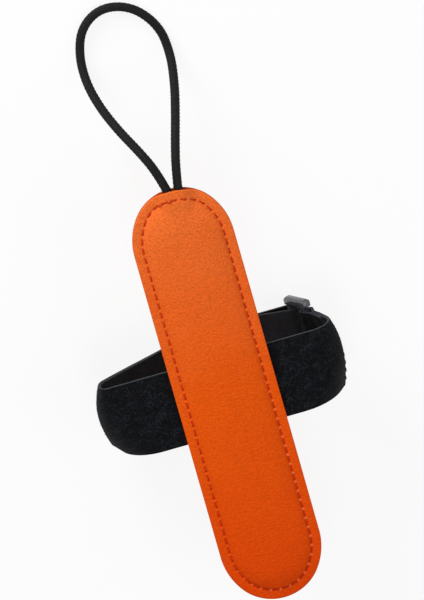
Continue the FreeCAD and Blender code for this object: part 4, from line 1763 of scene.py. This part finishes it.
@dataclass
class Strap:
    """The hook-and-loop strap: the ring of tape, its pile, loose end, hooks and thread."""

    finishes: Finishes
    route: TapeRoute = field(default_factory=TapeRoute)
    width: float = 40.0 * MM
    thickness: float = 1.5 * MM
    offset: float = -0.7 * MM         # of the tape's middle from the strip's, along Y
    askew: float = 1.3 * MM           # how much further it lies where it rests on the ground
    askew_z: tuple[float, float] = (6 * MM, 40 * MM)    # all of it up to here, none from here
    columns: int = 40
    loops: int = 6400
    loop_reach: float = 0.62 * MM
    loop_thread: float = 0.10 * MM
    loop_root: float = 0.2 * MM       # how far a loop's feet are sunk in the tape
    loop_lean: float = 0.35           # spread of its way up
    loop_sizes: tuple[float, float] = (0.5, 1.25)
    pile_from_z: float = 34.0 * MM    # where the pile starts, past the hem
    tip_x: float = -12.0 * MM
    tip_rounding: float = 4.0 * MM
    tail_steps: int = 44
    tail_root: float = 6.0 * MM       # length of the loose end's root, where it peels
    hook_base: float = 0.35 * MM
    hook_corner: float = 1.5 * MM
    hook_pitch: float = 1.25 * MM
    hook_inset: float = 1.0 * MM
    hook_radius: float = 0.16 * MM
    hook_bend: float = 0.24 * MM
    hook_turn: float = 130.0          # degrees
    hook_sunk: float = 0.02 * MM      # of a hook's foot in the base
    hook_seam: float = 2.2 * MM       # from the patch's edge to its thread
    hook_seam_z: float = 0.16 * MM
    hem_rows: tuple[float, ...] = (24.5 * MM, 28.0 * MM)
    hem_reach: float = 18.0 * MM      # of those rows to each side of the tape's middle
    hem_stitches: int = 9
    box_inset: float = 0.4 * MM
    cross: tuple[float, float] = (0.12, 0.9)    # its arms' ends, from a corner to the middle
    stitch: Stitch = Stitch(2.9 * MM, 0.6 * MM, sides=8, steps=10)

    def middle(self, height: float) -> float:
        """Where the tape's middle lies along Y: the strap is a little askew lower down."""
        return self.offset - self.askew * (1 - ease(*self.askew_z, height))

    def build(self) -> None:
        """Make every piece of the strap."""
        paths = self.route.columns(self.columns)
        settle(self.tape("strap_tape", paths), "strip", "loop_tape", "strap_band")
        self.make_pile(paths)
        self.make_tail()
        self.make_hooks()
        self.make_hem_thread()
        self.make_box_thread()

    def tape(self, name: str, paths: Sequence[Sequence[Vector]]) -> Bench:
        """A length of tape whose columns of points follow their own paths.

        Args:
            name: Name of the new piece.
            paths: One path in X and Z for each column, all with as many points.

        Returns:
            The bench that holds it, with pile on one face and knit on the other.
        """
        steps, columns = len(paths[0]) - 1, len(paths) - 1
        bench = Bench.start(name, bpy.ops.mesh.primitive_grid_add, x_subdivisions=steps,
                            y_subdivisions=columns, size=1.0)
        mesh, centre = bench.obj.data, paths[columns // 2]
        marks = list(accumulate(((b - a).length for a, b in zip(centre, centre[1:])), initial=0.0))
        index = [(round((v.co.x + 0.5) * steps), round((v.co.y + 0.5) * columns))
                 for v in mesh.vertices]
        for vertex, (i, j) in zip(mesh.vertices, index):
            spot = paths[columns - j][i]
            y = self.middle(spot.y) + (0.5 - j / columns) * self.width
            vertex.co = (spot.x, y, spot.y)
        layer = mesh.uv_layers[0]
        layer.name = "along"
        for loop in mesh.loops:
            i, j = index[loop.vertex_index]
            layer.data[loop.index].uv = (marks[i], j / columns * self.width)
        mesh.update()
        bench.dress(self.finishes.pile, self.finishes.knit, self.finishes.selvedge)
        bench.modify("SOLIDIFY", thickness=self.thickness, offset=0.0, use_even_offset=False,
                     material_offset=1, material_offset_rim=2)
        return bench.smooth(50)

    @staticmethod
    def bare(x: float, z: float) -> bool:
        """Whether no pile stands at a place: under the strip, in the buckle or over the tail."""
        under_strip = abs(x) < 22 * MM and z > 40 * MM
        in_buckle = x > 36 * MM and z < 20 * MM
        over_tail = x > -10 * MM and z < 6 * MM
        return under_strip or in_buckle or over_tail

    def make_pile(self, paths: Sequence[Sequence[Vector]]) -> None:
        """Loops of yarn that stand on the outer face of the ring.

        Args:
            paths: The tape's columns of points, in X and Z.
        """
        dice = random.Random(7)
        spans = list(zip(paths[self.columns // 2], paths[self.columns // 2][1:]))
        first = next(i for i, (here, _) in enumerate(spans)
                     if here.y > self.pile_from_z and i > len(spans) // 4)
        steps = list(range(first, len(spans) - 2))
        lengths = [(spans[i][1] - spans[i][0]).length for i in steps]
        places = []
        while len(places) < self.loops:
            j = dice.uniform(0.4, self.columns - 0.4)
            i = dice.choices(steps, lengths)[0] + dice.random()
            a, b = paths[int(j)], paths[int(j) + 1]
            k, share = int(i), j - int(j)
            here, after = a[k].lerp(b[k], share), a[k + 1].lerp(b[k + 1], share)
            spot, way = here.lerp(after, i - k), (after - here).normalized()
            if self.bare(spot.x, spot.y):
                continue
            normal = Vector((way.y, 0, -way.x))
            y = self.middle(spot.y) + (j / self.columns - 0.5) * self.width
            root = Vector((spot.x, y, spot.y)) + normal * (self.thickness / 2 - self.loop_root)
            lean = normal + Vector([dice.gauss(0, self.loop_lean) for _ in range(3)])
            lean.normalize()
            heading = Vector([dice.gauss(0, 1) for _ in range(3)])
            heading = (heading - lean * heading.dot(lean)).normalized()
            size = Matrix.Scale(dice.uniform(*self.loop_sizes), 4)
            places.append(stitch_place(root, heading, lean) @ size)
        bench = copies("strap_pile_loops", self.pile_loop(), places).dress(self.finishes.pile)
        settle(bench, "strip", "loop_tape")

    def pile_loop(self) -> Bench:
        """One loop of yarn: half a ring of thin thread, closed at both feet.

        Returns:
            The bench that holds it.
        """
        bench = Bench.start_disc("pile_loop", 3, self.loop_thread,
                                 location=(self.loop_reach, 0, 0))
        with bench.editing():
            bpy.ops.mesh.spin(steps=4, angle=math.pi, center=(0, 0, 0), axis=(0, -1, 0))
        return bench.outwards()

    def make_tail(self) -> None:
        """The loose end, laid flat from where it peels, with a rounded tip."""
        root = self.route.peel_x
        path = [Vector((root + (self.tip_x - root) * i / self.tail_steps, self.route.tail_z))
                for i in range(self.tail_steps + 1)]
        bench = self.tape("strap_loose_end", [path] * (self.columns + 1))
        rounding = self.tip_rounding

        def shape(p: Vector) -> Vector:
            """Round the tip's corners."""
            past = max(0.0, self.tip_x + rounding - p.x)
            room = rounding - math.sqrt(max(0.0, rounding ** 2 - past ** 2))
            half, middle = self.width / 2 - room, self.middle(p.z)
            return Vector((p.x, max(middle - half, min(middle + half, p.y)), p.z))

        bench.mould(shape)
        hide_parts("strap_tail")
        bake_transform(bench.obj)
        LOG.info("%s bends between strip and tail", bench.obj.name)

    def make_hooks(self) -> None:
        """The hook patch: a thin moulded base with rows of hooks, and the thread that holds it."""
        low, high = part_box("hook_patch")
        size, middle, base = high - low, (low + high) / 2, self.hook_base
        patch = Bench.start("hook_base", bpy.ops.mesh.primitive_cube_add, size=1.0,
                            scale=(size.x, size.y, base),
                            location=(middle.x, middle.y, low.z + base / 2))
        with patch.editing("EDGE"):
            patch.pick("edges", lambda e: abs(
                (e.verts[0].co - e.verts[1].co).normalized().z) > 0.9)
            bpy.ops.mesh.bevel(offset=self.hook_corner, segments=5)
        across, deep = (int((room - 2 * self.hook_inset) / self.hook_pitch) + 1
                        for room in (size.x, size.y))
        corner = low + Vector((self.hook_inset, self.hook_inset, base - self.hook_sunk))
        places = [stitch_place(corner + Vector((i, j, 0)) * self.hook_pitch,
                               X_AXIS if j % 2 else -X_AXIS, Z_AXIS)
                  for i in range(across) for j in range(deep)]
        hooks = copies("hook_rows", self.hook(size.z - base), places)
        patch.outwards().smooth(30)
        bench = joined("hook_field", [patch, hooks]).dress(self.finishes.hooks)
        settle(bench, "tail", "hook_tape", "hook_patch")
        row = stitch_box(box_corners(low, high, self.hook_seam, self.hook_seam_z), -Z_AXIS)
        self.sew("hook_patch_stitches", row, "tail", "hook_patch_thread")

    def hook(self, height: float) -> Bench:
        """One moulded hook, bent over at its top and flattened there.

        Args:
            height: From the base to its top.

        Returns:
            The bench that holds it.
        """
        hook = Bench.start_disc("hook", 5, self.hook_radius)
        stem = height * 0.55
        with hook.editing():
            hook.pull(0, 0, stem)
            bpy.ops.mesh.spin(steps=4, angle=math.radians(self.hook_turn),
                              center=(self.hook_bend, 0, stem), axis=(0, 1, 0))
        return hook.outwards().mould(lambda p: Vector((p.x, p.y, min(p.z, height * 0.98))))

    def make_hem_thread(self) -> None:
        """Two rows of stitches through the hem, on both of its faces."""
        half, row = self.thickness / 2, []
        for height in self.hem_rows:
            for k in range(self.hem_stitches):
                y = self.hem_reach * (2 * (k + 0.5) / self.hem_stitches - 1)
                spot, way = self.route.hem_crossing(2 * y / self.width, height)
                out = Vector((way.y, 0, -way.x)).normalized()
                foot = Vector((spot.x, self.middle(spot.y) + y, spot.y))
                under = foot - out * (2 * self.route.hem_apart + half)
                row += [stitch_place(foot + out * half, Y_AXIS, out),
                        stitch_place(under, Y_AXIS, -out)]
        self.sew("hem_stitches", row, "strip", "hem_thread")

    def make_box_thread(self) -> None:
        """The box and cross that sew the strap to the back sheet, seen inside the ring."""
        low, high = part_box("strap_box_thread")
        z = self.route.near_z - self.thickness / 2
        corners = box_corners(low, high, self.box_inset, z)
        middle = (corners[0] + corners[2]) / 2
        row = stitch_box(corners, -Z_AXIS)
        for corner in corners:
            row += stitch_row(*(corner.lerp(middle, share) for share in self.cross), -Z_AXIS)
        self.sew("strap_box_stitches", row, "strip", "strap_box_thread")

    def sew(self, name: str, places: Sequence[Matrix], body: str, node: str) -> None:
        """Lay black stitches at their places as one piece.

        Args:
            name: Name of the new piece.
            places: Where each stitch goes.
            body: The body that they ride on.
            node: The node that they stand for.
        """
        thread = copies(name, self.stitch.build(), places).dress(self.finishes.black_thread)
        settle(thread, body, "black_thread", node)


# ---------------------------------------------------------------- buckle


@dataclass
class Buckle:
    """The moulded loop that the tape runs through: two round bars and two chamfered end bars."""

    finishes: Finishes
    bar_radius: float = 2.0 * MM
    spacing: float = 12.5 * MM
    slot: float = 42.5 * MM
    end_bar: float = 4.0 * MM
    end_height: float = 4.4 * MM
    chamfer: float = 1.1 * MM
    edge: float = 0.22 * MM
    tilt: float = 58.0            # degrees

    def build(self) -> None:
        """Model the buckle flat, then tilt it into its place."""
        body = self.end(1)
        rods = [Bench.start("bar", bpy.ops.mesh.primitive_cylinder_add, vertices=40,
                            radius=self.bar_radius, depth=self.slot + self.end_bar,
                            location=(x, 0, 0), rotation=(math.pi / 2, 0, 0))
                for x in (-self.spacing / 2, self.spacing / 2)]
        for piece in (self.end(-1), *rods):
            body.modify("BOOLEAN", operation="UNION", object=piece.obj, solver="EXACT")
            piece.bin()
        low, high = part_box("buckle")
        tilted = Matrix.Rotation(math.radians(-self.tilt), 4, "Y")
        body.turn(Matrix.Translation((low + high) / 2) @ tilted)
        body.obj.name = body.obj.data.name = "buckle_loop"
        body.outwards().dress(self.finishes.buckle).smooth(32)
        settle(body, "buckle", "buckle_plastic", "buckle")

    def end(self, side: int) -> Bench:
        """One end bar, chamfered outside and eased on every other edge.

        Args:
            side: Which end it is, 1 or -1.

        Returns:
            The bench that holds it.
        """
        reach = self.spacing + 2 * self.bar_radius
        middle, outside = (side * (self.slot / 2 + self.end_bar * part) for part in (0.5, 1))
        bench = Bench.start("end_bar", bpy.ops.mesh.primitive_cube_add, size=1.0,
                            scale=(reach, self.end_bar, self.end_height), location=(0, middle, 0))
        with bench.editing("EDGE"):
            bench.pick("edges", lambda e: all(abs(v.co.y - outside) < 1e-6 for v in e.verts))
            bpy.ops.mesh.bevel(offset=self.chamfer, segments=1)
            bpy.ops.mesh.select_all(action="SELECT")
            bpy.ops.mesh.bevel(offset=self.edge, segments=3)
        return bench.outwards()


# ---------------------------------------------------------------- main


def main() -> None:
    """Build the studio and every piece."""
    logging.basicConfig(level=logging.INFO, format="%(name)s: %(message)s")
    Studio().build()
    finishes = Finishes()
    for part in (ElasticCord, LeatherStrip, Strap, Buckle):
        part(finishes).build()
    bpy.context.view_layer.update()


if __name__ == "__main__":
    main()
